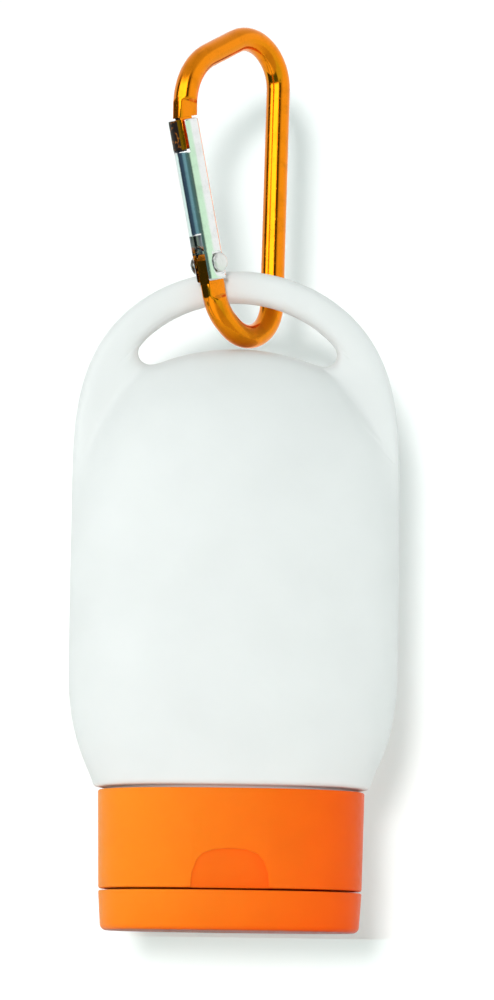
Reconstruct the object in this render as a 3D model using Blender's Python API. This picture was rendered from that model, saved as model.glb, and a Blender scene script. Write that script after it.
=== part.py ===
"""Small oval squeeze bottle standing on its flip cap, with a carabiner through its handle.

Metres, +Z up. The origin is the centre of the lid's flat face that the bottle stands on.
The front faces -Y and the cap's hinge is at the back, +Y.
"""

import math

import bmesh
import bpy
import numpy as np
from mathutils import Matrix, Vector

# General clearances between pieces that touch or run on each other
SEAT_GAP = 0.0003
CUT_OVERRUN = 0.0020

# Bottle body, outside
BODY_TOP_Z = 0.1019
BODY_HALF_WIDTH = 0.02527
BODY_HALF_DEPTH = 0.0135
ARCH_START_Z = 0.0680
ARCH_RISE_POWER = 3.1
ARCH_SIDE_POWER = 1.9
TAPER_START_Z = 0.0400
TAPER_POWER = 2.4
SIDE_LEDGE = 0.00037
FRONT_LEDGE = 0.0001
FOOT_ROUND = 0.0012
FOOT_ROUND_SHARE = 0.75
BULGE_START_Z = 0.0560
BULGE_OVER_SLOT = 0.00095
BULGE_RISE_POWER = 2.1
BULGE_SIDE_POWER = 2.3
BULGE_DEPTH_POWER = 1.9
RIM_HALF_DEPTH = 0.0022
RIM_EDGE_RADIUS = 0.0015
RIM_FADE_LOW_Z = 0.0500
RIM_FADE_HIGH_Z = 0.0660
BLEND_POWER = 4.0
JOIN_Z = 0.0715

# Handle slot under its bar: a bent capsule about a centre on the bottle's axis
BAR_HEIGHT = 0.00525
SLOT_ARC_RADIUS = 0.0235
SLOT_MID_HALF_HEIGHT = 0.00355
SLOT_END_HALF_HEIGHT = 0.00205
SLOT_END_X = 0.0133

# Bottle wall, shoulder and neck
WALL = 0.0011
CROWN_WALL = 0.0027
SHOULDER_GAP = 0.0004
SPIGOT_LENGTH = 0.0018
NECK_WALL = 0.0013
NECK_BEAD_HEIGHT = 0.0005
NECK_BEAD_RISE = 0.0024
NECK_BEAD_HALF_HEIGHT = 0.0006
MOUTH_GAP = 0.0020
SHOULDER_SLOPE = 0.0006

# Cap, outside
CAP_HALF_WIDTH = 0.0203
CAP_HALF_DEPTH = 0.0125
CAP_DRAFT = 0.0003
CAP_TOP_Z = 0.0212
CAP_POWER = 2.4
CAP_WALL = 0.0013
CAP_EDGE_ROUND = 0.0003
SEAM_Z = 0.0060
DECK = 0.0015

# Cap, inside
RING_WALL = 0.0011
RING_ROOM = 0.0008
RING_HEADROOM = 0.0012
RING_BEAD_RISE = 0.0014
PLUG_CLEARANCE = 0.0004
PLUG_WALL = 0.0010
PLUG_HEIGHT = 0.0034
NOZZLE_RADIUS = 0.0030
NOZZLE_BORE_RADIUS = 0.0015
NOZZLE_DROP = 0.0028

# Thumb recess in the front of the cap
RECESS_FOOT_HALF_WIDTH = 0.0063
RECESS_CORNER_HALF_WIDTH = 0.0049
RECESS_TOP_HALF_WIDTH = 0.0031
RECESS_CORNER_HEIGHT = 0.0047
RECESS_HEIGHT = 0.0061
RECESS_FOOT_DEPTH = 0.0020
RECESS_TOP_DEPTH = 0.0009
RECESS_CROWN_SHARE = 0.75
RECESS_BACKING = 0.0013

# Lid
LID_FLOOR = 0.0014
LID_EDGE_ROUND = 0.0009
LID_DRAFT = 0.0004
COLLAR_WALL = 0.0009
COLLAR_CLEARANCE = 0.0004
PIN_RADIUS = 0.0011
PIN_DROP = 0.0010

# Living hinge
HINGE_WIDTH = 0.0140
FILM_INNER_RADIUS = 0.00045
FILM_OUTER_RADIUS = 0.00085
FILM_HALF_SWEEP = math.radians(100.0)
FILM_CLEARANCE = 0.00033

# Carabiner, measured in its own plane from the handle bar's middle
CARABINER_YAW = math.radians(47.0)
CARABINER_X = 0.00095
SWING_RISE = 0.0020
WIRE_RADIUS = 0.00185
NOSE_INSET = 0.0004
NOSE_END_GAP = 0.0022
NOSE_RUN = 0.0061
NOSE_BEND = 0.0100
SPINE_TOP_OFFSET = 0.0074
CROWN_CLIMB = 0.0119
CROWN_BEND = 0.0067
SPINE_FOOT_OFFSET = 0.0060
HEEL_UNDERRUN = 0.0032
HEEL_BEND = 0.0060
TOE_RUN = 0.0073
TOE_BEND = 0.0071

# Gate, measured along its own axis from the rivet
PIVOT_OFFSET = 0.0081
PIVOT_RISE = 0.0025
GATE_LEAN = math.radians(16.1)
GATE_RADIUS = 0.0023
GATE_CHAMFER = 0.00025
GATE_FOOT = 0.0026
GATE_TIP = 0.0224
GATE_BORE_RADIUS = 0.0016
GATE_BORE_END = 0.0131
GATE_BACK_WALL = 0.00045
HINGE_SLOT_TOP = 0.0046
HINGE_SLOT_THROUGH_TOP = 0.0007
RIVET_RADIUS = 0.0009
RIVET_HEAD_RADIUS = 0.0015
RIVET_STAND = 0.0005
RIVET_DOME = 0.0003
SPOT_FACE_DEPTH = 0.00025

# Frame's flattened ends, along the gate's axis from the rivet
ROOT_GAP = 0.0013
PLATE_MARGIN = 0.0003
NOSE_PLATE = 0.0021
NECK_PLATE = 0.0010
NECK_CLEARANCE = 0.00035
NECK_OUTER = 0.0012
NECK_BURIED = 0.0006
HEAD_PLATE = 0.0028
HEAD_OUTER = 0.0023
HEAD_INNER = 0.0008
HEAD_LENGTH = 0.00455
BLOCK_FOOT_GAP = 0.00035
TONGUE_PLATE = 0.0019
TONGUE_TOP = 0.0016
TONGUE_TOP_HALF_WIDTH = 0.0009
TONGUE_SHOULDER = 0.0007
TONGUE_OUTER = 0.0016
TONGUE_CLEARANCE = 0.00025
TONGUE_ROOT_OUTER = 0.00245
TONGUE_ROOT_INNER = 0.00195
TONGUE_ROOT_GAP = 0.0010
TONGUE_BURIED = 0.0014

# Plunger and spring inside the gate
PLUNGER_TIP_RADIUS = 0.0004
PLUNGER_CONE = 0.0010
PLUNGER_LENGTH = 0.0031
SPRING_SIDE_ROOM = 0.00006
SPRING_WIRE_RADIUS = 0.00024
SPRING_LEAST_GAP = 0.0004

# Counts
FRONT_STEPS = 20
ARCH_STEPS = 30
RIM_STEPS = 8
BODY_RINGS = 13
FOOT_STEPS = 3
CAVITY_RINGS = 11
CURVE_POINTS = 400
CAP_SIDES = 48
ROUND_SIDES = 24
WIRE_SIDES = 16
BEND_STEPS = 10
SPRING_TURNS = 6
SPRING_POINTS = 10
MILLIMETRES = 1000.0

# Handle: the slot hangs from its bar, and the carabiner from both
BAR_FOOT_Z = BODY_TOP_Z - BAR_HEIGHT
BAR_MID_Z = BODY_TOP_Z - BAR_HEIGHT / 2
SLOT_ARC_CENTRE_Z = BAR_FOOT_Z - SLOT_MID_HALF_HEIGHT - SLOT_ARC_RADIUS
BULGE_TOP_Z = BAR_FOOT_Z - 2 * SLOT_MID_HALF_HEIGHT + BULGE_OVER_SLOT
SWING_Z = BAR_FOOT_Z + SWING_RISE

# Cap and neck: heights from the seam up, and radii from the cap's depth in
BASE_Z = SEAM_Z + SEAT_GAP
DECK_Z = BASE_Z + DECK
HINGE_Z = SEAM_Z + SEAT_GAP / 2
HINGE_Y = CAP_HALF_DEPTH - CAP_DRAFT
HINGE_GROOVE_RADIUS = FILM_OUTER_RADIUS + FILM_CLEARANCE
RECESS_CORNER_Z = SEAM_Z + RECESS_CORNER_HEIGHT
RECESS_TOP_Z = SEAM_Z + RECESS_HEIGHT
PIN_TOP_Z = SEAM_Z - PIN_DROP
SHOULDER_Z = CAP_TOP_Z + SHOULDER_GAP
RING_TOP_Z = SHOULDER_Z - SPIGOT_LENGTH - SHOULDER_SLOPE - RING_HEADROOM
NECK_MOUTH_Z = DECK_Z + MOUTH_GAP
NECK_BEAD_Z = NECK_MOUTH_Z + NECK_BEAD_RISE
RING_OUTER_RADIUS = CAP_HALF_DEPTH - CAP_WALL - RING_ROOM
RING_INNER_RADIUS = RING_OUTER_RADIUS - RING_WALL
NECK_BEAD_RADIUS = RING_INNER_RADIUS - SEAT_GAP
NECK_RADIUS = NECK_BEAD_RADIUS - NECK_BEAD_HEIGHT
RING_BEAD_RADIUS = NECK_RADIUS + SEAT_GAP
NECK_BORE_RADIUS = NECK_RADIUS - NECK_WALL
PLUG_OUTER_RADIUS = NECK_BORE_RADIUS - PLUG_CLEARANCE
TAPER_SIDE_DROP = BODY_HALF_WIDTH - CAP_HALF_WIDTH - SIDE_LEDGE
TAPER_FRONT_DROP = BODY_HALF_DEPTH - CAP_HALF_DEPTH - FRONT_LEDGE

# Carabiner: its corners follow the gate, the slot and the bar
NOSE_OFFSET = PIVOT_OFFSET + GATE_TIP * math.sin(GATE_LEAN) - NOSE_INSET
NOSE_END_RISE = PIVOT_RISE + GATE_TIP * math.cos(GATE_LEAN) + NOSE_END_GAP
NOSE_CORNER_RISE = NOSE_END_RISE + NOSE_RUN
CROWN_CORNER_RISE = NOSE_CORNER_RISE + CROWN_CLIMB
HEEL_CORNER_DROP = BAR_HEIGHT / 2 + 2 * SLOT_MID_HALF_HEIGHT + HEEL_UNDERRUN
TOE_OFFSET = PIVOT_OFFSET - TOE_RUN * math.sin(GATE_LEAN)
TOE_CORNER_DROP = TOE_RUN * math.cos(GATE_LEAN) - PIVOT_RISE

# Gate: its slots, bore and rivet with what runs in them
GATE_INSIDE = GATE_RADIUS - GATE_BACK_WALL
NOSE_SLOT_HALF_WIDTH = HEAD_PLATE / 2 + SEAT_GAP
HINGE_SLOT_HALF_WIDTH = TONGUE_PLATE / 2 + SEAT_GAP
HEAD_FOOT = GATE_TIP - HEAD_LENGTH
NOSE_FOOT = GATE_TIP + BLOCK_FOOT_GAP
NECK_INNER = GATE_INSIDE - NECK_CLEARANCE
TONGUE_INNER = GATE_INSIDE - TONGUE_CLEARANCE
ROOT_DROP = GATE_FOOT + ROOT_GAP
TONGUE_ROOT_DROP = GATE_FOOT + TONGUE_ROOT_GAP
RIVET_HALF_LENGTH = GATE_RADIUS + RIVET_STAND
PLUNGER_RADIUS = GATE_BORE_RADIUS - SEAT_GAP
SPRING_COIL_RADIUS = PLUNGER_RADIUS - SPRING_SIDE_ROOM - SPRING_WIRE_RADIUS


def material(name, colour, roughness, metallic):
    """One plain surface colour."""
    made = bpy.data.materials.new(name)
    made.use_nodes = True
    shader = made.node_tree.nodes["Principled BSDF"]
    shader.inputs["Base Color"].default_value = (*colour, 1.0)
    shader.inputs["Roughness"].default_value = roughness
    shader.inputs["Metallic"].default_value = metallic
    made.diffuse_color = (*colour, 1.0)
    return made


def bottle_white():
    """Natural white polyethylene."""
    return material("bottle_white", (0.86, 0.88, 0.87), 0.45, 0.0)


def cap_orange():
    """Orange moulded polypropylene."""
    return material("cap_orange", (1.0, 0.27, 0.02), 0.5, 0.0)


def anodised_orange():
    """Orange anodised aluminium."""
    return material("anodised_orange", (0.9, 0.26, 0.01), 0.2, 1.0)


def gate_silver():
    """Bright plain aluminium."""
    return material("gate_silver", (0.82, 0.85, 0.84), 0.15, 1.0)


def rivet_steel():
    """Dull peened metal."""
    return material("rivet_steel", (0.7, 0.71, 0.7), 0.4, 1.0)


def spring_steel():
    """Drawn steel wire and its pin."""
    return material("spring_steel", (0.5, 0.5, 0.5), 0.3, 1.0)


def new_object(name, mesh_data, surface, sharp_angle=math.radians(35.0)):
    """Puts a finished bmesh in the scene, faces out, smooth but for its sharp edges."""
    bmesh.ops.recalc_face_normals(mesh_data, faces=mesh_data.faces)
    mesh = bpy.data.meshes.new(name)
    mesh_data.to_mesh(mesh)
    mesh_data.free()
    if surface:
        mesh.materials.append(surface)
    mesh.shade_smooth()
    mesh.set_sharp_from_angle(angle=sharp_angle)
    made = bpy.data.objects.new(name, mesh)
    bpy.context.scene.collection.objects.link(made)
    return made


def set_origin(made, place):
    """Puts a moving piece's origin on its joint, with its shape left where it is."""
    made.data.transform(place.inverted())
    made.matrix_world = place
    return made


def hide(made):
    """Keeps a cutter or a shape that is joined to another out of the finished part."""
    made.hide_render = True
    made.display_type = "WIRE"
    return made


def combine(target, other, operation):
    """Cuts or joins another shape."""
    step = target.modifiers.new(operation.lower(), "BOOLEAN")
    step.operation = operation
    step.solver = "EXACT"
    step.object = hide(other)
    return target


def quads_between(mesh_data, rings):
    """Bridges rings of vertices that have the same count."""
    for low, high in zip(rings, rings[1:]):
        count = len(low)
        for i in range(count):
            j = (i + 1) % count
            mesh_data.faces.new((low[i], low[j], high[j], high[i]))


def fan(mesh_data, ring, point):
    """Closes a ring of vertices to one point."""
    pole = mesh_data.verts.new(point)
    for i, vertex in enumerate(ring):
        mesh_data.faces.new((vertex, ring[(i + 1) % len(ring)], pole))


def lofted(name, rings, surface, place=None, closed=False):
    """A body through rings of points: closed on itself, or with its ends fanned shut."""
    mesh_data = bmesh.new()
    made = [[mesh_data.verts.new(p) for p in ring] for ring in rings]
    if closed:
        made.append(made[0])
    else:
        for ends, points in ((made[0], rings[0]), (made[-1], rings[-1])):
            fan(mesh_data, ends, Vector(np.mean(np.array(points), axis=0)))
    quads_between(mesh_data, made)
    if place is not None:
        mesh_data.transform(place)
    return new_object(name, mesh_data, surface)


def oval_ring(half_width, half_depth, z, power, sides):
    """Points round an oval, anticlockwise seen from above."""
    points = []
    for i in range(sides):
        angle = 2.0 * math.pi * i / sides
        c, s = math.cos(angle), math.sin(angle)
        x = half_width * math.copysign(abs(c) ** (2.0 / power), c)
        y = half_depth * math.copysign(abs(s) ** (2.0 / power), s)
        points.append((x, y, z))
    return points


def round_ring(radius, z, sides):
    """Points round a circle."""
    return oval_ring(radius, radius, z, 2.0, sides)


def turned(name, profile, surface, place, sides=ROUND_SIDES):
    """A round solid from (radius, height) pairs, listed from one end to the other."""
    rings = [round_ring(radius, z, sides) for radius, z in profile]
    return lofted(name, rings, surface, place)


def plate(name, outline, thickness, surface, place):
    """A flat plate from an outline in X and Z, centred on Y = 0."""
    mesh_data = bmesh.new()
    half = thickness / 2
    front = [mesh_data.verts.new((x, -half, z)) for x, z in outline]
    back = [mesh_data.verts.new((x, half, z)) for x, z in outline]
    mesh_data.faces.new(front)
    mesh_data.faces.new(list(reversed(back)))
    quads_between(mesh_data, [front, back])
    mesh_data.transform(place)
    return new_object(name, mesh_data, surface)


def resample(curve, count):
    """Points evenly spaced along a curve."""
    curve = np.array(curve)
    steps = np.linalg.norm(np.diff(curve, axis=0), axis=1)
    along = np.concatenate([[0.0], np.cumsum(steps)])
    wanted = np.linspace(0.0, along[-1], count)
    return np.stack([np.interp(wanted, along, curve[:, k]) for k in range(2)], axis=1)


def distance_to(points, curve):
    """How far each point lies from a curve, in its plane."""
    start, end = curve[:-1], curve[1:]
    run = end - start
    offset = points[:, None, :] - start[None, :, :]
    share = np.sum(offset * run, axis=2) / np.maximum(np.sum(run * run, axis=1), 1e-18)
    nearest = np.clip(share, 0.0, 1.0)[:, :, None] * run[None, :, :]
    return np.linalg.norm(offset - nearest, axis=2).min(axis=1)


def taper_share(z):
    """How far down the taper to the cap a height lies."""
    down = (TAPER_START_Z - np.asarray(z, float)) / (TAPER_START_Z - SHOULDER_Z)
    return np.clip(down, 0.0, None) ** TAPER_POWER


def half_width_at(z):
    """The bottle's half width under its arch."""
    return BODY_HALF_WIDTH - TAPER_SIDE_DROP * taper_share(z)


def bulge_half_depth(x, z, inset=0.0, top_inset=0.0):
    """The hollow body's half depth, brought in by a wall for its inside."""
    rise = (z - BULGE_START_Z) / (BULGE_TOP_Z - top_inset - BULGE_START_Z)
    rise = np.clip(rise, 0.0, None) ** BULGE_RISE_POWER
    side = (np.abs(x) / (half_width_at(z) - inset)) ** BULGE_SIDE_POWER
    depth = BODY_HALF_DEPTH - inset - TAPER_FRONT_DROP * taper_share(z)
    left = np.clip(1.0 - rise - side, 0.0, None)
    return depth * left ** (1.0 / BULGE_DEPTH_POWER)


def edge_share(distance):
    """A quarter round from an edge to the full depth."""
    inward = np.clip(distance / RIM_EDGE_RADIUS, 0.0, 1.0)
    return np.sqrt(np.clip(1.0 - (1.0 - inward) ** 2, 0.0, None))


def arch_outline():
    """The bottle's outline over the handle, from the right side to the left."""
    points = []
    for i in range(CURVE_POINTS + 1):
        angle = math.pi * i / CURVE_POINTS
        c, s = math.cos(angle), math.sin(angle)
        x = BODY_HALF_WIDTH * math.copysign(abs(c) ** (2.0 / ARCH_SIDE_POWER), c)
        z = ARCH_START_Z + (BODY_TOP_Z - ARCH_START_Z) * s ** (2.0 / ARCH_RISE_POWER)
        points.append((x, z))
    above = [p for p in points if p[1] > JOIN_Z]
    side = float(np.interp(JOIN_Z, [p[1] for p in points[: CURVE_POINTS // 2]],
                           [p[0] for p in points[: CURVE_POINTS // 2]]))
    return np.array([(side, JOIN_Z), *above, (-side, JOIN_Z)])


def slot_half_height(angle, end_angle):
    """The slot narrows from its middle to its ends."""
    grow = SLOT_MID_HALF_HEIGHT - SLOT_END_HALF_HEIGHT
    return SLOT_END_HALF_HEIGHT + grow * (1.0 - (angle / end_angle) ** 2)


def slot_edge(side):
    """The slot's lower (-1) or upper (+1) edge, from its left tip to its right tip."""
    end = math.asin(SLOT_END_X / SLOT_ARC_RADIUS)
    points = []
    for i in range(CURVE_POINTS + 1):
        angle = -end + 2.0 * end * i / CURVE_POINTS
        radius = SLOT_ARC_RADIUS + side * slot_half_height(angle, end)
        points.append((radius * math.sin(angle), SLOT_ARC_CENTRE_Z + radius * math.cos(angle)))
    cap = []
    for i in range(BEND_STEPS):
        turn = math.pi / 2 * i / BEND_STEPS
        along = -SLOT_END_HALF_HEIGHT * math.cos(turn)
        radius = SLOT_ARC_RADIUS + side * SLOT_END_HALF_HEIGHT * math.sin(turn)
        x = -radius * math.sin(end) + along * math.cos(end)
        z = SLOT_ARC_CENTRE_Z + radius * math.cos(end) + along * math.sin(end)
        cap.append((x, z))
    return np.array(cap + points + [(-x, z) for x, z in reversed(cap)])


def body_half_depth(points, outline, slot):
    """The bottle's half depth at points of its front view."""
    x, z = points[:, 0], points[:, 1]
    fade = np.clip((z - RIM_FADE_LOW_Z) / (RIM_FADE_HIGH_Z - RIM_FADE_LOW_Z), 0.0, 1.0)
    rim = RIM_HALF_DEPTH * fade * fade * (3.0 - 2.0 * fade)
    rim = rim * edge_share(distance_to(points, outline))
    bulge = bulge_half_depth(x, z)
    both = (rim ** BLEND_POWER + bulge ** BLEND_POWER) ** (1.0 / BLEND_POWER)
    return both * edge_share(distance_to(points, slot))


def whole_outline(arch):
    """The bottle's front view from the shoulder up one side, over and down the other."""
    heights = np.linspace(SHOULDER_Z, JOIN_Z, CURVE_POINTS)
    right = np.stack([half_width_at(heights), heights], axis=1)
    left = right[::-1] * np.array([-1.0, 1.0])
    return np.concatenate([right, arch, left])


def spread(level):
    """How far out each line's point lies at a level: close together only at free edges."""
    turn = math.pi * level / RIM_STEPS
    to_edge = (1.0 - math.cos(turn)) / 2.0
    to_foot = 1.0 - math.cos(turn / 2.0)
    across = np.arange(FRONT_STEPS + ARCH_STEPS)
    middle = np.where(across < FRONT_STEPS, np.sin(np.pi * across / FRONT_STEPS), 0.0)
    return (to_edge + (to_foot - to_edge) * middle)[:, None]


def handle_grid(arch, slot_low, slot_high):
    """Lines of points from the slot's edge out to the outline, in the front view."""
    width = arch[0, 0]
    across = -width * np.cos(np.pi * np.arange(FRONT_STEPS + 1) / FRONT_STEPS)
    foot = np.stack([across, np.full(FRONT_STEPS + 1, JOIN_Z)], axis=1)
    outer = np.concatenate([foot[:-1], resample(arch, ARCH_STEPS + 1)[:-1]])
    low = resample(slot_low, FRONT_STEPS + 1)
    high = resample(slot_high[::-1], ARCH_STEPS + 1)
    inner = np.concatenate([low[:-1], high[:-1]])
    return [inner + spread(level) * (outer - inner) for level in range(RIM_STEPS + 1)]


def section(half_width, half_depth, z, side_power=2.0, depth_power=2.0):
    """One level ring: the front from left to right, then the back from right to left."""
    x = -half_width * np.cos(np.pi * np.arange(FRONT_STEPS + 1) / FRONT_STEPS)
    left = np.clip(1.0 - np.abs(x / half_width) ** side_power, 0.0, None)
    y = half_depth * left ** (1.0 / depth_power)
    front = [(float(a), float(-b), z) for a, b in zip(x, y)]
    back = [(float(a), float(b), z) for a, b in zip(x[::-1], y[::-1])]
    return front + back[1:-1]


def level_ring(z, outline, slot):
    """One ring of the outside under the handle."""
    width = float(half_width_at(z))
    x = -width * np.cos(np.pi * np.arange(FRONT_STEPS + 1) / FRONT_STEPS)
    depth = body_half_depth(np.stack([x, np.full(len(x), z)], axis=1), outline, slot)
    depth[0] = depth[-1] = 0.0
    front = [(float(a), float(-b), z) for a, b in zip(x, depth)]
    back = [(float(a), float(b), z) for a, b in zip(x[::-1], depth[::-1])]
    return front + back[1:-1]


def foot_rings():
    """The outside rounding in to the shoulder's flat underside."""
    width = float(half_width_at(SHOULDER_Z + FOOT_ROUND))
    depth = float(bulge_half_depth(np.zeros(1), np.array([SHOULDER_Z + FOOT_ROUND]))[0])
    rings = []
    for i in range(1, FOOT_STEPS + 1):
        turn = math.pi / 2 * i / FOOT_STEPS
        inward = FOOT_ROUND * FOOT_ROUND_SHARE * (1.0 - math.cos(turn))
        z = SHOULDER_Z + FOOT_ROUND * (1.0 - math.sin(turn))
        rings.append(section(width - inward, depth - inward, z,
                             BULGE_SIDE_POWER, BULGE_DEPTH_POWER))
    return rings


def neck_rings():
    """Shoulder, spigot, neck outside, mouth and bore, going down and back up."""
    powers = (BULGE_SIDE_POWER, BULGE_DEPTH_POWER)
    width = CAP_HALF_WIDTH - CAP_WALL - SEAT_GAP
    depth = CAP_HALF_DEPTH - CAP_WALL - SEAT_GAP
    spigot_z = SHOULDER_Z - SPIGOT_LENGTH
    bead_top = NECK_BEAD_Z + NECK_BEAD_HALF_HEIGHT
    bead_foot = NECK_BEAD_Z - NECK_BEAD_HALF_HEIGHT
    bore_top = SHOULDER_Z + SHOULDER_SLOPE - WALL
    inner_width = width - WALL
    inner_depth = depth - WALL
    return [
        section(width, depth, SHOULDER_Z, *powers),
        section(width, depth, spigot_z, *powers),
        section(NECK_RADIUS, NECK_RADIUS, spigot_z - SHOULDER_SLOPE),
        section(NECK_RADIUS, NECK_RADIUS, bead_top),
        section(NECK_BEAD_RADIUS, NECK_BEAD_RADIUS, NECK_BEAD_Z),
        section(NECK_RADIUS, NECK_RADIUS, bead_foot),
        section(NECK_RADIUS, NECK_RADIUS, NECK_MOUTH_Z),
        section(NECK_BORE_RADIUS, NECK_BORE_RADIUS, NECK_MOUTH_Z),
        section(NECK_BORE_RADIUS, NECK_BORE_RADIUS, bore_top),
        section(inner_width, inner_depth, bore_top + SHOULDER_SLOPE, *powers),
        section(inner_width, inner_depth, SHOULDER_Z + WALL, *powers),
    ]


def cavity_rings():
    """The inside of the hollow body, from above the shoulder to its crown."""
    low = SHOULDER_Z + WALL + SHOULDER_SLOPE
    top = BULGE_TOP_Z - CROWN_WALL
    rings = []
    for i in range(CAVITY_RINGS):
        z = low + (top - low) * math.sin(math.pi / 2 * i / CAVITY_RINGS)
        rise = max(0.0, (z - BULGE_START_Z) / (top - BULGE_START_Z)) ** BULGE_RISE_POWER
        width = (float(half_width_at(z)) - WALL) * (1.0 - rise) ** (1.0 / BULGE_SIDE_POWER)
        depth = float(bulge_half_depth(np.zeros(1), np.array([z]), WALL, CROWN_WALL)[0])
        rings.append(section(width, depth, z, BULGE_SIDE_POWER, BULGE_DEPTH_POWER))
    return rings, top


def bottle_body(surface):
    """Blown body with its solid handle rim, neck downward."""
    arch = arch_outline()
    slot_low, slot_high = slot_edge(-1.0), slot_edge(1.0)
    outline = whole_outline(arch)
    slot = np.concatenate([slot_low, slot_high[::-1]])
    grid = handle_grid(arch, slot_low, slot_high)
    mesh_data = bmesh.new()
    front, back = [], []
    for level, points in enumerate(grid):
        depth = body_half_depth(points, outline, slot)
        fronts, backs = [], []
        for k, (x, z) in enumerate(points):
            on_outline = level == RIM_STEPS and (k == 0 or k >= FRONT_STEPS)
            y = 0.0 if level == 0 or on_outline else float(depth[k])
            vertex = mesh_data.verts.new((x, -y, z))
            fronts.append(vertex)
            backs.append(vertex if y == 0.0 else mesh_data.verts.new((x, y, z)))
        front.append(fronts)
        back.append(backs)
    quads_between(mesh_data, front)
    quads_between(mesh_data, back)
    last_front, last_back = front[-1], back[-1]
    joined = last_front[: FRONT_STEPS + 1] + last_back[FRONT_STEPS - 1 : 0 : -1]
    foot = SHOULDER_Z + FOOT_ROUND
    levels = JOIN_Z + (foot - JOIN_Z) * (np.arange(1, BODY_RINGS + 1) / BODY_RINGS)
    rings = [level_ring(float(z), outline, slot) for z in levels]
    rings += foot_rings()
    rings += neck_rings()
    inside, top = cavity_rings()
    rings += inside
    made = [joined] + [[mesh_data.verts.new(p) for p in ring] for ring in rings]
    quads_between(mesh_data, made)
    fan(mesh_data, made[-1], (0.0, 0.0, top))
    return new_object("bottle_body", mesh_data, surface)


def cap_oval(inset, z, draft_share):
    """A ring of the cap's own oval, brought in by an inset and the draft."""
    inward = inset + CAP_DRAFT * draft_share
    return oval_ring(CAP_HALF_WIDTH - inward, CAP_HALF_DEPTH - inward, z, CAP_POWER, CAP_SIDES)


def cap_ring(radius, z):
    """A round ring with the cap's point count."""
    return round_ring(radius, z, CAP_SIDES)


def cap_base_shell(surface):
    """Skirt, deck, neck ring with its bead, plug and nozzle as one turned section."""
    bead_z = NECK_BEAD_Z + NECK_BEAD_HALF_HEIGHT + RING_BEAD_RISE
    nozzle_z = BASE_Z - NOZZLE_DROP
    plug_top = DECK_Z + PLUG_HEIGHT
    plug_inner = PLUG_OUTER_RADIUS - PLUG_WALL
    rings = [
        cap_oval(CAP_EDGE_ROUND, BASE_Z, 1.0),
        cap_oval(0.0, BASE_Z + CAP_EDGE_ROUND, 1.0),
        cap_oval(0.0, CAP_TOP_Z - CAP_EDGE_ROUND, 0.0),
        cap_oval(CAP_EDGE_ROUND, CAP_TOP_Z, 0.0),
        cap_oval(CAP_WALL, CAP_TOP_Z, 0.0),
        cap_oval(CAP_WALL, DECK_Z, 1.0),
        cap_ring(RING_OUTER_RADIUS, DECK_Z),
        cap_ring(RING_OUTER_RADIUS, RING_TOP_Z),
        cap_ring(RING_INNER_RADIUS, RING_TOP_Z),
        cap_ring(RING_INNER_RADIUS, bead_z + SEAT_GAP),
        cap_ring(RING_BEAD_RADIUS, bead_z),
        cap_ring(RING_INNER_RADIUS, bead_z - SEAT_GAP),
        cap_ring(RING_INNER_RADIUS, DECK_Z),
        cap_ring(PLUG_OUTER_RADIUS, DECK_Z),
        cap_ring(PLUG_OUTER_RADIUS, plug_top),
        cap_ring(plug_inner, plug_top),
        cap_ring(plug_inner, DECK_Z),
        cap_ring(NOZZLE_BORE_RADIUS, DECK_Z),
        cap_ring(NOZZLE_BORE_RADIUS, nozzle_z),
        cap_ring(NOZZLE_RADIUS, nozzle_z),
        cap_ring(NOZZLE_RADIUS, BASE_Z),
    ]
    return lofted("cap_base", rings, surface, closed=True)


def recess_outline(grow, foot_z):
    """The thumb recess in the front view: straight sides, then an arched top."""
    arch_mid = RECESS_TOP_Z + grow
    corner = (RECESS_CORNER_HALF_WIDTH + grow, RECESS_CORNER_Z + grow)
    crown_z = RECESS_CORNER_Z + (arch_mid - RECESS_CORNER_Z) * RECESS_CROWN_SHARE
    crown = (RECESS_TOP_HALF_WIDTH + grow, crown_z)
    right = [(RECESS_FOOT_HALF_WIDTH + grow, foot_z), corner, crown]
    return right + [(0.0, arch_mid)] + [(-x, z) for x, z in reversed(right)]


def recess_block(name, grow, foot_z, front_y, foot_y, top_y):
    """A block behind or in the recess, its back leaning from foot to top."""
    outline = recess_outline(grow, foot_z)
    top_z = RECESS_TOP_Z + grow
    mesh_data = bmesh.new()
    front = [mesh_data.verts.new((x, front_y, z)) for x, z in outline]
    back = []
    for x, z in outline:
        share = (z - foot_z) / (top_z - foot_z)
        back.append(mesh_data.verts.new((x, foot_y + (top_y - foot_y) * share, z)))
    mesh_data.faces.new(front)
    mesh_data.faces.new(list(reversed(back)))
    quads_between(mesh_data, [front, back])
    return new_object(name, mesh_data, None)


def hinge_place():
    """The middle of the lid's hinge, which runs along X."""
    return Matrix.Translation((0.0, HINGE_Y, HINGE_Z))


def groove_cutter(name):
    """A round bar along the hinge that clears the film."""
    place = hinge_place() @ Matrix.Rotation(math.pi / 2, 4, "Y")
    half = HINGE_WIDTH / 2 + SEAT_GAP
    profile = [(HINGE_GROOVE_RADIUS, -half), (HINGE_GROOVE_RADIUS, half)]
    return turned(name, profile, None, place)


def cap_base(surface):
    """The part of the cap that grips the neck."""
    made = cap_base_shell(surface)
    face = -CAP_HALF_DEPTH
    foot_floor = face + RECESS_FOOT_DEPTH
    top_floor = face + RECESS_TOP_DEPTH
    pad_front = face + CAP_DRAFT + CAP_WALL / 2
    pad = recess_block("recess_backing", RECESS_BACKING, BASE_Z + CAP_EDGE_ROUND, pad_front,
                       foot_floor + RECESS_BACKING, top_floor + RECESS_BACKING)
    combine(made, pad, "UNION")
    cutter = recess_block("recess_cutter", 0.0, BASE_Z - CUT_OVERRUN, face - CUT_OVERRUN,
                          foot_floor, top_floor)
    combine(made, cutter, "DIFFERENCE")
    return combine(made, groove_cutter("base_groove_cutter"), "DIFFERENCE")


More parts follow.
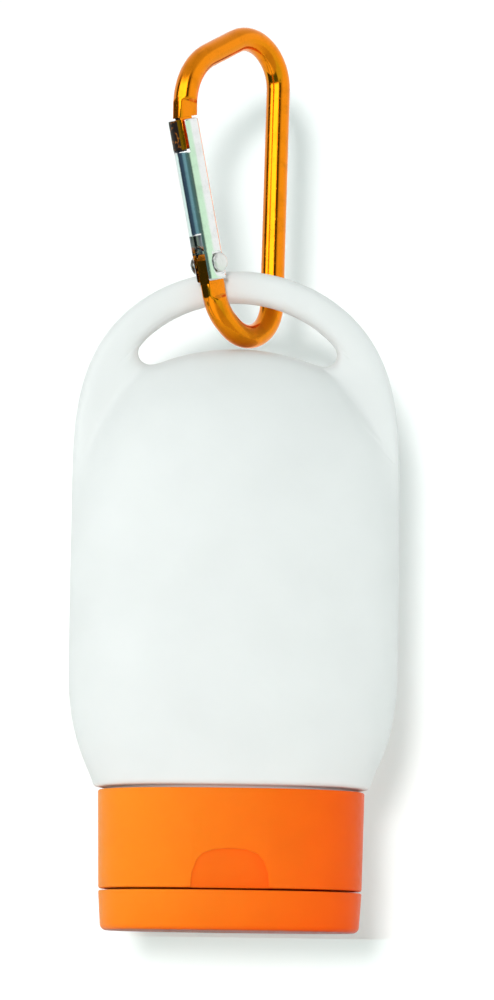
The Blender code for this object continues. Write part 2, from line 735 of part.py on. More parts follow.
def lid_oval(inset, z):
    """A ring of the lid's oval: the cap's own at the seam, drawn in towards the foot."""
    inward = inset + CAP_DRAFT + LID_DRAFT * (1.0 - z / SEAM_Z)
    return oval_ring(CAP_HALF_WIDTH - inward, CAP_HALF_DEPTH - inward, z, CAP_POWER, CAP_SIDES)


def cap_lid(surface):
    """Flip lid that the bottle stands on, with its collar and sealing pin."""
    collar_inner = NOZZLE_RADIUS + COLLAR_CLEARANCE
    collar_outer = collar_inner + COLLAR_WALL
    collar_top = SEAM_Z - SEAT_GAP
    soft = LID_EDGE_ROUND * (1.0 - math.sqrt(0.5))
    rings = [
        lid_oval(2.0 * LID_EDGE_ROUND, 0.0),
        lid_oval(LID_EDGE_ROUND, 0.0),
        lid_oval(soft, soft),
        lid_oval(0.0, LID_EDGE_ROUND),
        lid_oval(0.0, SEAM_Z - CAP_EDGE_ROUND),
        lid_oval(CAP_EDGE_ROUND, SEAM_Z),
        lid_oval(CAP_WALL, SEAM_Z),
        lid_oval(CAP_WALL, LID_FLOOR),
        cap_ring(collar_outer, LID_FLOOR),
        cap_ring(collar_outer, collar_top),
        cap_ring(collar_inner, collar_top),
        cap_ring(collar_inner, LID_FLOOR),
        cap_ring(PIN_RADIUS, LID_FLOOR),
        cap_ring(PIN_RADIUS, PIN_TOP_Z - CAP_EDGE_ROUND),
        cap_ring(PIN_RADIUS - CAP_EDGE_ROUND, PIN_TOP_Z),
    ]
    made = set_origin(lofted("cap_lid", rings, surface), hinge_place())
    return combine(made, groove_cutter("lid_groove_cutter"), "DIFFERENCE")


def hinge_film(surface):
    """Bowed living hinge, its bend centred on the lid's axis."""
    outline = []
    for radius, sign in ((FILM_OUTER_RADIUS, 1.0), (FILM_INNER_RADIUS, -1.0)):
        for i in range(BEND_STEPS + 1):
            angle = sign * FILM_HALF_SWEEP * (2.0 * i / BEND_STEPS - 1.0)
            outline.append((radius * math.cos(angle), radius * math.sin(angle)))
    place = hinge_place() @ Matrix.Rotation(math.pi / 2, 4, "Z")
    return plate("hinge_film", outline, HINGE_WIDTH, surface, place)


def carabiner_place():
    """The carabiner's own plane: X towards its spine, Z up, from the handle bar's middle."""
    middle = Matrix.Translation((CARABINER_X, 0.0, BAR_MID_Z))
    return middle @ Matrix.Rotation(CARABINER_YAW, 4, "Z")


def gate_place():
    """The gate's own axes: Z along it from the rivet to the nose, X towards the spine."""
    pivot = Matrix.Translation((-PIVOT_OFFSET, 0.0, PIVOT_RISE))
    return carabiner_place() @ pivot @ Matrix.Rotation(-GATE_LEAN, 4, "Y")


def rounded_path(corners):
    """A path through corners, each (point, bend radius), as points and their directions."""
    points = [Vector(p) for p, _ in corners]
    path = [points[0]]
    for k in range(1, len(points) - 1):
        back = (points[k - 1] - points[k]).normalized()
        ahead = (points[k + 1] - points[k]).normalized()
        half = back.angle(ahead) / 2
        radius = corners[k][1]
        reach = radius / math.tan(half)
        centre = points[k] + (back + ahead).normalized() * (radius / math.sin(half))
        start = points[k] + back * reach - centre
        sweep = math.pi - 2 * half
        normal = start.cross(points[k] + ahead * reach - centre).normalized()
        for i in range(BEND_STEPS + 1):
            path.append(centre + Matrix.Rotation(sweep * i / BEND_STEPS, 3, normal) @ start)
    path.append(points[-1])
    return path


def frame_path():
    """The bent wire's centre line, from the nose round to the hinge."""
    lean = Vector((-math.sin(GATE_LEAN), 0.0, math.cos(GATE_LEAN)))
    root = Vector((-PIVOT_OFFSET, 0.0, PIVOT_RISE)) - lean * ROOT_DROP
    return rounded_path([
        ((-NOSE_OFFSET, 0.0, NOSE_END_RISE), 0.0),
        ((-NOSE_OFFSET, 0.0, NOSE_CORNER_RISE), NOSE_BEND),
        ((SPINE_TOP_OFFSET, 0.0, CROWN_CORNER_RISE), CROWN_BEND),
        ((SPINE_FOOT_OFFSET, 0.0, -HEEL_CORNER_DROP), HEEL_BEND),
        ((-TOE_OFFSET, 0.0, -TOE_CORNER_DROP), TOE_BEND),
        (tuple(root), 0.0),
    ])


def wire(name, surface):
    """Round wire along the frame's path, which stays in one plane."""
    path = frame_path()
    rings = []
    for k, point in enumerate(path):
        ahead = path[min(k + 1, len(path) - 1)] - point
        behind = point - path[max(k - 1, 0)]
        along = (ahead.normalized() + behind.normalized()).normalized()
        level = Vector((0.0, 1.0, 0.0))
        outward = level.cross(along)
        ring = []
        for i in range(WIRE_SIDES):
            angle = 2.0 * math.pi * (i + 0.5) / WIRE_SIDES
            offset = outward * math.cos(angle) + level * math.sin(angle)
            ring.append(point + offset * WIRE_RADIUS)
        rings.append(ring)
    return lofted(name, rings, surface, carabiner_place())


def in_gate_axes(u, rise):
    """A point of the carabiner's plane in the gate's own axes."""
    du, dz = u + PIVOT_OFFSET, rise - PIVOT_RISE
    c, s = math.cos(GATE_LEAN), math.sin(GATE_LEAN)
    return (du * c + dz * s, dz * c - du * s)


def nose_block():
    """Flattened end of the wire, which ends just over the gate's tip."""
    buried = NOSE_END_RISE + WIRE_RADIUS / 2
    inner = in_gate_axes(-NOSE_OFFSET + WIRE_RADIUS, buried)
    outer = in_gate_axes(-NOSE_OFFSET - WIRE_RADIUS + PLATE_MARGIN, buried)
    side = in_gate_axes(-NOSE_OFFSET + WIRE_RADIUS, NOSE_END_RISE - WIRE_RADIUS / 2)
    outline = [
        (-NECK_OUTER, NOSE_FOOT),
        (NECK_INNER, NOSE_FOOT),
        (side[0], max(NOSE_FOOT, side[1])),
        inner,
        outer,
    ]
    return plate("nose_block", outline, NOSE_PLATE, None, gate_place())


def nose_neck():
    """Thin neck that runs from the block down into the gate's slot."""
    outline = [
        (-NECK_OUTER, HEAD_FOOT + SEAT_GAP),
        (NECK_INNER, HEAD_FOOT + SEAT_GAP),
        (NECK_INNER, NOSE_FOOT + NECK_BURIED),
        (-NECK_OUTER, NOSE_FOOT + NECK_BURIED),
    ]
    return plate("nose_neck", outline, NECK_PLATE, None, gate_place())


def nose_head():
    """Thick head of the nose, which fills the gate's slot and is as round as the gate."""
    profile = [(HEAD_OUTER, HEAD_FOOT), (HEAD_OUTER, GATE_TIP)]
    made = turned("nose_head", profile, None, gate_place(), 2 * WIRE_SIDES)
    beyond = HEAD_OUTER + CUT_OVERRUN
    outline = [
        (-beyond, HEAD_FOOT - CUT_OVERRUN),
        (-HEAD_INNER, HEAD_FOOT - CUT_OVERRUN),
        (-HEAD_INNER, GATE_TIP + CUT_OVERRUN),
        (-beyond, GATE_TIP + CUT_OVERRUN),
    ]
    sides = plate("nose_head_sides", outline, HEAD_PLATE, None, gate_place())
    return combine(made, sides, "INTERSECT")


def hinge_tongue():
    """Flattened other end of the wire, which carries the rivet inside the gate."""
    buried = -ROOT_DROP - TONGUE_BURIED
    outline = [
        (-WIRE_RADIUS + PLATE_MARGIN, buried),
        (-TONGUE_ROOT_OUTER, -TONGUE_ROOT_DROP),
        (-TONGUE_ROOT_OUTER, -GATE_FOOT),
        (-TONGUE_OUTER, -TONGUE_SHOULDER),
        (-TONGUE_OUTER, TONGUE_SHOULDER),
        (-TONGUE_TOP_HALF_WIDTH, TONGUE_TOP),
        (TONGUE_TOP_HALF_WIDTH, TONGUE_TOP),
        (TONGUE_INNER, TONGUE_SHOULDER),
        (TONGUE_INNER, -TONGUE_SHOULDER),
        (TONGUE_ROOT_INNER, -TONGUE_ROOT_DROP),
        (WIRE_RADIUS - PLATE_MARGIN, buried),
    ]
    return plate("hinge_tongue", outline, TONGUE_PLATE, None, gate_place())


def across_gate():
    """The rivet's axis, which crosses the gate."""
    return gate_place() @ Matrix.Rotation(math.pi / 2, 4, "X")


def rivet_hole(name):
    """Clearance hole for the rivet's shank."""
    reach = GATE_RADIUS + CUT_OVERRUN
    radius = RIVET_RADIUS + SEAT_GAP
    return turned(name, [(radius, -reach), (radius, reach)], None, across_gate())


def carabiner_frame(surface):
    """Bent wire with its two flattened ends."""
    made = set_origin(wire("carabiner_frame", surface), Matrix.Translation((0.0, 0.0, SWING_Z)))
    for shape in (nose_block(), nose_neck(), nose_head(), hinge_tongue()):
        combine(made, shape, "UNION")
    return combine(made, rivet_hole("tongue_hole_cutter"), "DIFFERENCE")


def slot_box(name, half_width, inner, low, high):
    """A slot cutter that is open on the gate's outer side."""
    outer = -GATE_RADIUS - CUT_OVERRUN
    outline = [(outer, low), (inner, low), (inner, high), (outer, high)]
    return plate(name, outline, 2.0 * half_width, None, gate_place())


def spot_face(name, sign):
    """Flat seat for one of the rivet's heads."""
    low = GATE_RADIUS - SPOT_FACE_DEPTH
    radius = RIVET_HEAD_RADIUS + SEAT_GAP
    profile = [(radius, sign * low), (radius, sign * (low + CUT_OVERRUN))]
    return turned(name, profile, None, across_gate())


def gate_blank(surface):
    """Round rod, bored up from its hinge end."""
    chamfered = GATE_RADIUS - GATE_CHAMFER
    profile = [
        (GATE_BORE_RADIUS, GATE_BORE_END),
        (GATE_BORE_RADIUS, -GATE_FOOT),
        (chamfered, -GATE_FOOT),
        (GATE_RADIUS, -GATE_FOOT + GATE_CHAMFER),
        (GATE_RADIUS, GATE_TIP - GATE_CHAMFER),
        (chamfered, GATE_TIP),
    ]
    made = turned("carabiner_gate", profile, surface, gate_place(), 2 * WIRE_SIDES)
    return set_origin(made, gate_place())


def carabiner_gate(surface):
    """Gate with a slot at each end, its bore, and the rivet's holes."""
    made = gate_blank(surface)
    beyond = GATE_RADIUS + CUT_OVERRUN
    nose_foot = HEAD_FOOT - SEAT_GAP
    for cutter in (
        slot_box("nose_slot_cutter", NOSE_SLOT_HALF_WIDTH, GATE_INSIDE, nose_foot,
                 GATE_TIP + CUT_OVERRUN),
        slot_box("hinge_slot_cutter", HINGE_SLOT_HALF_WIDTH, GATE_INSIDE,
                 -GATE_FOOT - CUT_OVERRUN, HINGE_SLOT_TOP),
        slot_box("hinge_through_cutter", HINGE_SLOT_HALF_WIDTH, beyond,
                 -GATE_FOOT - CUT_OVERRUN, HINGE_SLOT_THROUGH_TOP),
        rivet_hole("gate_hole_cutter"),
        spot_face("near_seat_cutter", 1.0),
        spot_face("far_seat_cutter", -1.0),
    ):
        combine(made, cutter, "DIFFERENCE")
    return made


def gate_rivet(surface):
    """Rivet peened over at both ends."""
    seat = GATE_RADIUS - SPOT_FACE_DEPTH + SEAT_GAP
    rim = RIVET_HALF_LENGTH - RIVET_DOME
    crown_radius = RIVET_HEAD_RADIUS - RIVET_DOME
    half = [
        (RIVET_RADIUS, seat),
        (RIVET_HEAD_RADIUS, seat),
        (RIVET_HEAD_RADIUS, rim),
        (crown_radius, RIVET_HALF_LENGTH),
    ]
    profile = [(radius, -z) for radius, z in reversed(half)] + half
    return set_origin(turned("gate_rivet", profile, surface, across_gate()), gate_place())


def gate_plunger(surface):
    """Pin that the spring presses on the tongue's flat top."""
    tip = TONGUE_TOP + SEAT_GAP
    profile = [
        (PLUNGER_TIP_RADIUS, tip),
        (PLUNGER_RADIUS, tip + PLUNGER_CONE),
        (PLUNGER_RADIUS, tip + PLUNGER_LENGTH),
    ]
    return set_origin(turned("gate_plunger", profile, surface, gate_place()), gate_place())


def spring_points(low, high):
    """Centre line of the coil, with a short straight run at each end."""
    count = SPRING_TURNS * SPRING_POINTS
    foot = low + 2.0 * SPRING_WIRE_RADIUS
    head = high - 2.0 * SPRING_WIRE_RADIUS
    points = [Vector((SPRING_COIL_RADIUS, 0.0, low))]
    for i in range(count + 1):
        angle = 2.0 * math.pi * i / SPRING_POINTS
        z = foot + (head - foot) * i / count
        points.append(Vector((SPRING_COIL_RADIUS * math.cos(angle),
                              SPRING_COIL_RADIUS * math.sin(angle), z)))
    points.append(Vector((SPRING_COIL_RADIUS, 0.0, high)))
    return points


def least_coil_gap(points):
    """The least space between two curls, from point to point along the coil."""
    least = math.inf
    for i, point in enumerate(points):
        for other in points[i + SPRING_POINTS // 2 :]:
            least = min(least, (other - point).length - 2.0 * SPRING_WIRE_RADIUS)
    return least


def gate_spring(surface):
    """Coil spring between the plunger and the end of the bore, as one unbroken wire."""
    low = TONGUE_TOP + SEAT_GAP + PLUNGER_LENGTH + SEAT_GAP
    high = GATE_BORE_END - SEAT_GAP
    points = spring_points(low, high)
    gap = least_coil_gap(points)
    print(f"gate spring: least gap between curls {gap * MILLIMETRES:.2f} mm")
    if gap < SPRING_LEAST_GAP:
        raise ValueError("the spring's curls are too close")
    data = bpy.data.curves.new("gate_spring", "CURVE")
    data.dimensions = "3D"
    data.bevel_depth = SPRING_WIRE_RADIUS
    data.bevel_resolution = 1
    data.use_fill_caps = True
    line = data.splines.new("POLY")
    line.points.add(len(points) - 1)
    for target, point in zip(line.points, points):
        target.co = (*point, 1.0)
        target.radius = 1.0
    line.use_smooth = True
    data.materials.append(surface)
    made = bpy.data.objects.new("gate_spring", data)
    made.matrix_world = gate_place()
    bpy.context.scene.collection.objects.link(made)
    return made


def main():
    """Builds every piece in its place."""
    for old in list(bpy.data.objects):
        bpy.data.objects.remove(old, do_unlink=True)
    orange = cap_orange()
    steel = spring_steel()
    bottle_body(bottle_white())
    cap_base(orange)
    cap_lid(orange)
    hinge_film(orange)
    carabiner_frame(anodised_orange())
    carabiner_gate(gate_silver())
    gate_rivet(rivet_steel())
    gate_plunger(steel)
    gate_spring(steel)


main()
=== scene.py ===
"""Looks for a small white squeeze bottle with an orange flip cap and a wire carabiner."""

import math

import bmesh
import bpy
from mathutils import Matrix, Vector


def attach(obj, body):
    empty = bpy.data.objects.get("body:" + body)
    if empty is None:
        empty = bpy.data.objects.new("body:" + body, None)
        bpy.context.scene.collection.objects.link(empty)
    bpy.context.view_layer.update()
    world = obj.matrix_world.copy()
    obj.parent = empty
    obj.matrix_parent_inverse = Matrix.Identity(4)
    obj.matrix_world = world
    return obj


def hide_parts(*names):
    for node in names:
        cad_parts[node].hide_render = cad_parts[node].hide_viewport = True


bl_info = {
    "name": "Squeeze bottle with carabiner",
    "version": (1, 0, 0),
    "blender": (4, 5, 0),
    "location": "3D View > Sidebar > Squeeze Bottle",
    "description": "Dresses the packed squeeze bottle, its flip cap and its carabiner",
    "category": "Object",
}

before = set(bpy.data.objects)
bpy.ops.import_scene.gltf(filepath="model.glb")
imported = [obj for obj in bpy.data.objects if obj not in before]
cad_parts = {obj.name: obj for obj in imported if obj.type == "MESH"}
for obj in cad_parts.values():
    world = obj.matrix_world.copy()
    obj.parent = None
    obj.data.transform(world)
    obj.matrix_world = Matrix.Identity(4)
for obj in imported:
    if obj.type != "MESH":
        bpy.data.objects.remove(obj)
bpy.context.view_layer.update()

MERGE_DISTANCE = 0.000002
SHARP = math.radians(34.0)
SOFT = math.radians(60.0)
CUT_BEYOND = 0.0060
BORE_SIDES = 48
HOLE_SIDES = 32

# Least share of a normal that faces one way, and how far off an oval its own points may lie
FACING = 0.7
OFF_RING_SHARE = 0.01

# Cap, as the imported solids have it
CAP_POWER = 2.4
CAP_DRAFT = 0.0003
CAP_WALL = 0.0013
CAP_CUT_ROUND = 0.00012
BASE_Z = 0.0063
DECK_Z = 0.0078
CAP_TOP_Z = 0.0212
RING_TOP_Z = 0.0180
RING_OUTER_RADIUS = 0.0104
RING_INNER_RADIUS = 0.0093
RING_BEAD_RADIUS = 0.0088
RING_BEAD_Z = 0.0142
BEAD_HALF_HEIGHT = 0.0004
PLUG_RADIUS = 0.0068
PLUG_WALL = 0.0010
PLUG_TOP_Z = 0.0112
NOZZLE_RADIUS = 0.0030
NOZZLE_BORE_RADIUS = 0.0015
NOZZLE_TIP_Z = 0.0035

# Thumb recess: half widths, heights, how far in it goes, and between which depths its face lies
RECESS = [(0.0063, 0.0059), (0.0057, 0.0085), (0.0050, 0.0104), (0.0041, 0.0114), (0.0024, 0.0120)]
RECESS_TOP_Z = 0.0122
RECESS_FOOT_DEPTH = 0.0020
RECESS_TOP_DEPTH = 0.0009
RECESS_BACKING = 0.0013
RECESS_FACE_DEPTHS = (RECESS_TOP_DEPTH * 0.7, RECESS_FOOT_DEPTH * 1.2)

# Lid
SEAM_Z = 0.0060
LID_FLOOR_Z = 0.0014
LID_DRAFT = 0.0004
LID_FOOT_STEPS = 7
LID_ROUND_SHARE = 0.8
COLLAR_INNER_RADIUS = 0.0034
COLLAR_WALL = 0.0009
PIN_RADIUS = 0.0011
PIN_TOP_Z = 0.0050

# Living hinge
HINGE_Y = 0.0122
HINGE_Z = 0.00615
HINGE_WIDTH = 0.0140
FILM_RADII = (0.00045, 0.00085)
FILM_HALF_SWEEP = math.radians(100.0)
FILM_STEPS = 24
GROOVE_RADIUS = 0.00118

# Carabiner, in its own plane from the middle of the handle's bar
PLANE_X = 0.00095
PLANE_Z = 0.099275
PLANE_YAW = math.radians(47.0)
WIRE_CORNERS = [
    ((-0.0139118, 0.0245), 0.0),
    ((-0.0139118, 0.0323215), 0.0100),
    ((0.0074, 0.0442215), 0.0067),
    ((0.0060, -0.012925), 0.0060),
    ((-0.0060756, -0.0045137), 0.0071),
    ((-0.0072681, -0.0003823), 0.0),
]
BEND_STEPS = 16
LINE_STEP = 0.0001
LINE_BEND_STEPS = 60
PRESSED_POWER = 5.0
METAL_CUT_ROUND = 0.00008
PIVOT = (-0.0081, 0.0025)
GATE_LEAN = math.radians(16.1)

# Shares of the wire's radius: how far faces and points lie from its line, and its core
FACE_REACH_SHARE = 1.3
POINT_REACH_SHARE = 1.05
CORE_SHARE = 0.5

# Gate and its rivet, along the gate's own axis from the rivet
GATE_SIDES = 64
GATE_FOOT = -0.0026
GATE_TIP = 0.0224
GATE_INSIDE = 0.00185
GATE_END_ROUND = 0.0003
GATE_ROUGHNESS_SHARE = 0.8
GATE_RINGS = (-0.0020, 0.0020, 0.0050, 0.0085, 0.0130, 0.0170)
BORE_RADIUS = 0.0016
BORE_END = 0.0131
NOSE_SLOT_HALF = 0.0017
NOSE_SLOT_FOOT = 0.01755
HINGE_SLOT_HALF = 0.00125
HINGE_SLOT_TOP = 0.0046
HINGE_SLOT_THROUGH_TOP = 0.0007
RUNNING_GAP = 0.0003
RIVET_SIDES = 40
RIVET_RADIUS = 0.0009
RIVET_HEAD_RADIUS = 0.0015
RIVET_SEAT = 0.00235
RIVET_SEAT_DEPTH = 0.00025
RIVET_END = 0.0028
RIVET_DOME = 0.0003
RIVET_DOME_STEPS = ((0.90, 0.49), (0.80, 0.29), (0.66, 0.15), (0.4, 0.07))
RIVET_COLOUR = (0.80, 0.82, 0.79)
HAMMER_MARK = 0.0006
HAMMER_DEPTH = 0.00022
SPRING_COLOUR = (0.50, 0.50, 0.49)

# Nose's neck and sheared head, and the tongue under the gate, in the gate's own axes
NECK_X = (-0.0012, 0.0015)
NECK_HALF = 0.0005
NECK_TOP = 0.0236
HEAD_FOOT = 0.01785
HEAD_HALF = 0.0014
HEAD_INSIDE = -0.0008
# Where the nose's head gets its painted dark reflection
DARK_REFLECTION_X = (-0.0025, -0.0006)
DARK_REFLECTION_Y = (-0.0006, 0.0016)
DARK_REFLECTION_MARGIN = 0.0002
TONGUE = [(-0.0015, -0.0053), (-0.0017, -0.0036), (-0.0016, -0.0007), (-0.0016, 0.0007),
          (-0.0009, 0.0016)]
TONGUE_HALF = 0.00095
TONGUE_CUT = 0.004

# Rings of cards that only gloss shows: an angle from the front, and a grey level or a colour
UNDER_CARDS = [(-180, 0.9), (-88, 1.0), (-80, 0.3), (-70, 1.1), (-30, 1.2), (0, 0.6), (60, 0.6),
               (110, 0.9), (180, 0.9)]
LOWER_CARDS = [(-180, 0.9), (-106, (0.78, 1.0, 0.95)), (-102, (0.028, 0.042, 0.065)),
               (-64, (0.045, 0.085, 0.13)), (-54, (0.14, 0.29, 0.34)), (-38, (0.17, 0.35, 0.40)),
               (-26, (0.07, 0.16, 0.16)), (0, (0.09, 0.15, 0.12)), (8, (0.68, 0.96, 0.70)),
               (50, (0.70, 0.96, 0.72)), (60, (0.86, 0.97, 0.86)), (180, 1.0)]
UPPER_CARDS = [(-180, 1.0), (-108, 0.8), (-102, 0.1), (-80, 0.06), (-72, 2.7), (2, 3.0),
               (8, 0.10), (27, 0.08), (33, 0.75), (50, 1.0), (180, 1.0)]
OVER_CARDS = [(-180, 0.9), (-90, 0.7), (0, 0.6), (90, 0.7), (180, 0.9)]
CARD_RISES = [(LOWER_CARDS, -0.46, -0.42), (UPPER_CARDS, 0.02, 0.09), (OVER_CARDS, 0.60, 0.75)]

# Lamps: place, height of what each faces, size, and power as a share of the key
LAMPS = {
    "front_lamp": ((-0.19, -2.0, 0.13), 0.07, 0.23, 1.0),
    "left_lamp": ((-0.60, -0.10, 0.16), 0.06, 0.30, 0.030),
    "right_lamp": ((0.60, -0.07, 0.12), 0.06, 0.30, 0.018),
    "back_lamp": ((0.25, 1.2, 0.30), 0.06, 0.40, 0.11),
}
SHEET_SIZE = 1.2
WALL_MIDDLE_Z = 0.2

# Even light: its tint, and where the floor's level turns to the fill
FILL_TINT = (0.83, 1.0, 0.97)
FILL_RISE = (-0.3, -0.05)

# Camera
CAMERA_PLACE = (0.00178, -0.5950, -0.0112)
CAMERA_TILT = math.radians(7.4)
CAMERA_ROLL = math.radians(0.8)
CAMERA_LENS = 140.4


def length(name, text, value, least=0.0, most=0.2):
    """A size in metres that the user can change."""
    return bpy.props.FloatProperty(name=name, description=text, default=value, min=least,
                                   max=most, unit="LENGTH", precision=5)


def colour(name, text, value):
    """A colour that the user can change."""
    return bpy.props.FloatVectorProperty(name=name, description=text, default=value, size=3,
                                         min=0.0, max=1.0, subtype="COLOR")


def share(name, text, value):
    """An amount from none to all."""
    return bpy.props.FloatProperty(name=name, description=text, default=value, min=0.0,
                                   max=1.0, subtype="FACTOR")


def count(name, text, value, least, most):
    """A whole number that the user can change."""
    return bpy.props.IntProperty(name=name, description=text, default=value, min=least, max=most)


class BottleLook(bpy.types.PropertyGroup):
    """The blown bottle."""

    shell_colour: colour("Shell colour", "Natural white polyethylene", (0.80, 0.795, 0.79))
    roughness: share("Roughness", "Satin of the blown shell", 0.42)
    parting_line: length("Parting line", "Height of the fine ridge between the mould halves",
                         0.00005, 0.0, 0.0005)
    smoothing: count("Smoothing", "Subdivision levels over the moulded shape", 2, 0, 3)


class CapLook(bpy.types.PropertyGroup):
    """The two moulded parts of the flip cap and their hinge."""

    half_width: length("Half width", "Half of the cap's width at its top", 0.0203)
    half_depth: length("Half depth", "Half of the cap's depth at its top", 0.0125)
    edge_round: length("Edge round", "Radius on the moulded edges", 0.0003)
    foot_round: length("Foot round", "Radius round the foot of the lid", 0.0009)
    # Painted light and shade: the cap's orange is lighter on its left side and darker on its
    # right, as if the light fell from the left.
    painted_lit_colour: colour("Plastic colour", "Orange polypropylene on the left side",
                           (1.0, 0.275, 0.012))
    painted_shade_colour: colour("Deep colour", "Orange polypropylene on the right side",
                        (0.92, 0.098, 0.001))
    roughness: share("Roughness", "Satin of the moulded cap", 0.40)
    sides: count("Sides", "Points round the cap", 96, 24, 192)


class CarabinerLook(bpy.types.PropertyGroup):
    """The wire, the gate and the small parts between them."""

    wire_radius: length("Wire radius", "Radius of the bent wire", 0.00185)
    gate_radius: length("Gate radius", "Radius of the gate's rod", 0.0023)
    flat_width: length("Flat width", "Width of the wire's pressed ends", 0.0039)
    flat_thickness: length("Flat thickness", "Thickness of the wire's pressed ends", 0.0021)
    wire_colour: colour("Wire colour", "Orange anodised aluminium", (0.92, 0.27, 0.006))
    gate_colour: colour("Gate colour", "Bright plain aluminium", (0.86, 0.88, 0.87))
    roughness: share("Roughness", "Polish of the wire and the gate", 0.13)
    wire_sides: count("Wire sides", "Points round the wire", 32, 12, 64)


class StageLook(bpy.types.PropertyGroup):
    """Floor, backdrop and light."""

    backdrop_distance: length("Backdrop distance", "How far behind the bottle the wall stands",
                              0.048, 0.0, 2.0)
    backdrop_colour: colour("Backdrop colour", "Pale paper behind and under the bottle",
                            (0.93, 0.935, 0.93))
    backdrop_lift: share("Backdrop lift", "The wall's own light, which only the camera sees", 0.08)
    floor_lift: share("Floor lift", "The floor's own light, which only the camera sees", 0.30)
    fill: bpy.props.FloatProperty(name="Fill", default=0.47, min=0.0, max=5.0,
                                  description="Level of the even light from all sides")
    key: bpy.props.FloatProperty(name="Key", default=20.3, min=0.0, max=50.0, unit="POWER",
                                 description="Power of the lamp in front, a little left and above")


def start_fresh():
    """Goes back to object mode with nothing selected."""
    if bpy.context.object is not None and bpy.context.object.mode != "OBJECT":
        bpy.ops.object.mode_set(mode="OBJECT")
    bpy.ops.object.select_all(action="DESELECT")


def take(made):
    """Makes one object the selected and active one."""
    start_fresh()
    made.select_set(True)
    bpy.context.view_layer.objects.active = made


def edit(made, kind):
    """Opens a mesh for editing, with points, edges or faces to pick."""
    take(made)
    bpy.ops.object.mode_set(mode="EDIT")
    bpy.ops.mesh.select_mode(type=kind)


def select_all(made, kind="VERT"):
    """Opens a mesh for editing with all of it selected."""
    edit(made, kind)
    bpy.ops.mesh.select_all(action="SELECT")


def done():
    """Leaves edit mode."""
    bpy.ops.object.mode_set(mode="OBJECT")


def face_outwards():
    """Turns every face of the open mesh outwards and leaves edit mode."""
    bpy.ops.mesh.select_all(action="SELECT")
    bpy.ops.mesh.normals_make_consistent(inside=False)
    done()


def pick(made, kind, test):
    """Selects the edges or faces of the open mesh that pass a test."""
    bpy.ops.mesh.select_mode(type=kind)
    bpy.ops.mesh.select_all(action="DESELECT")
    data = bmesh.from_edit_mesh(made.data)
    items = {"EDGE": data.edges, "FACE": data.faces}[kind]
    found = [item for item in items if test(item)]
    for item in found:
        item.select_set(True)
    data.select_flush_mode()
    bmesh.update_edit_mesh(made.data)
    if not found:
        raise RuntimeError(f"nothing to pick on {made.name}")


def extrude(move):
    """Extrudes what is selected."""
    bpy.ops.mesh.extrude_region_move(TRANSFORM_OT_translate={"value": move})


def new_piece(name):
    """Names the primitive that was just added and puts its place in its mesh."""
    made = bpy.context.object
    made.name = made.data.name = name
    bpy.ops.object.transform_apply()
    return made


def apply_step(made, kind, **values):
    """Adds a modifier and applies it."""
    take(made)
    step = made.modifiers.new(kind.lower(), kind)
    for name, value in values.items():
        setattr(step, name, value)
    bpy.ops.object.modifier_apply(modifier=step.name)


def combine(target, other, operation):
    """Cuts or joins another closed shape, and removes it."""
    apply_step(target, "BOOLEAN", operation=operation, solver="EXACT", object=other)
    bpy.data.objects.remove(other)
    select_all(target)
    bpy.ops.mesh.remove_doubles(threshold=MERGE_DISTANCE)
    bpy.ops.mesh.dissolve_degenerate(threshold=MERGE_DISTANCE)
    done()


def soften(made, width):
    """Takes the sharpness off the edges of a cut shape."""
    apply_step(made, "BEVEL", width=width, segments=2, limit_method="ANGLE",
               angle_limit=SHARP, miter_outer="MITER_ARC")


def set_down(made, place):
    """Moves a piece that was made in its own axes to its place, in its mesh."""
    take(made)
    made.matrix_world = place
    bpy.ops.object.transform_apply()


def finish_piece(made, body, nodes, surfaces, smooth=SHARP, even=False):
    """Checks that a mesh is closed, smooths it, and ties it to the frame."""
    select_all(made)
    bpy.ops.mesh.normals_make_consistent(inside=False)
    data = bmesh.from_edit_mesh(made.data)
    loose = sum(1 for e in data.edges if len(e.link_faces) != 2)
    done()
    if loose:
        raise RuntimeError(f"{made.name} has {loose} open or doubled edges")
    take(made)
    bpy.ops.object.shade_smooth_by_angle(angle=smooth)
    if even:
        apply_step(made, "WEIGHTED_NORMAL", keep_sharp=True, weight=60)
    for surface in surfaces:
        made.data.materials.append(surface)
    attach(made, body)
    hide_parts(*nodes)


def between(one, other, amount):
    """A value part of the way from one to another."""
    return one + (other - one) * amount


def signed_power(value, power):
    """A value raised to a power, with its own sign kept."""
    return math.copysign(abs(value) ** power, value)


def mirrored(left, *middle):
    """A left half of an outline, what stands in the middle, and the half's mirror image."""
    return [*left, *middle, *((-x, z) for x, z in reversed(left))]


def corners(left, right, low, high):
    """The outline of a rectangle in X and Z."""
    return [(left, low), (right, low), (right, high), (left, high)]


def reshape_ring(made, old, new):
    """Moves the selected ring from one oval to another that is squarer or rounder."""
    data = bmesh.from_edit_mesh(made.data)
    for point in [v for v in data.verts if v.select]:
        c = signed_power(point.co.x / old[0], old[3] / 2.0)
        s = signed_power(point.co.y / old[1], old[3] / 2.0)
        size = math.hypot(c, s)
        point.co.x = new[0] * signed_power(c / size, 2.0 / new[3])
        point.co.y = new[1] * signed_power(s / size, 2.0 / new[3])
        point.co.z = new[2]
    bmesh.update_edit_mesh(made.data)


def round_off(made, rings, radius):
    """Rounds the edges of the open mesh that run round any of these rings."""
    def on_ring(point, ring):
        half_width, half_depth, z, power = ring
        off = (abs(point.x) / half_width) ** power + (abs(point.y) / half_depth) ** power - 1.0
        return abs(point.z - z) < MERGE_DISTANCE and abs(off) < OFF_RING_SHARE

    pick(made, "EDGE", lambda e: any(all(on_ring(v.co, ring) for v in e.verts) for ring in rings))
    bpy.ops.mesh.bevel(offset=radius, segments=3, affect="EDGES")


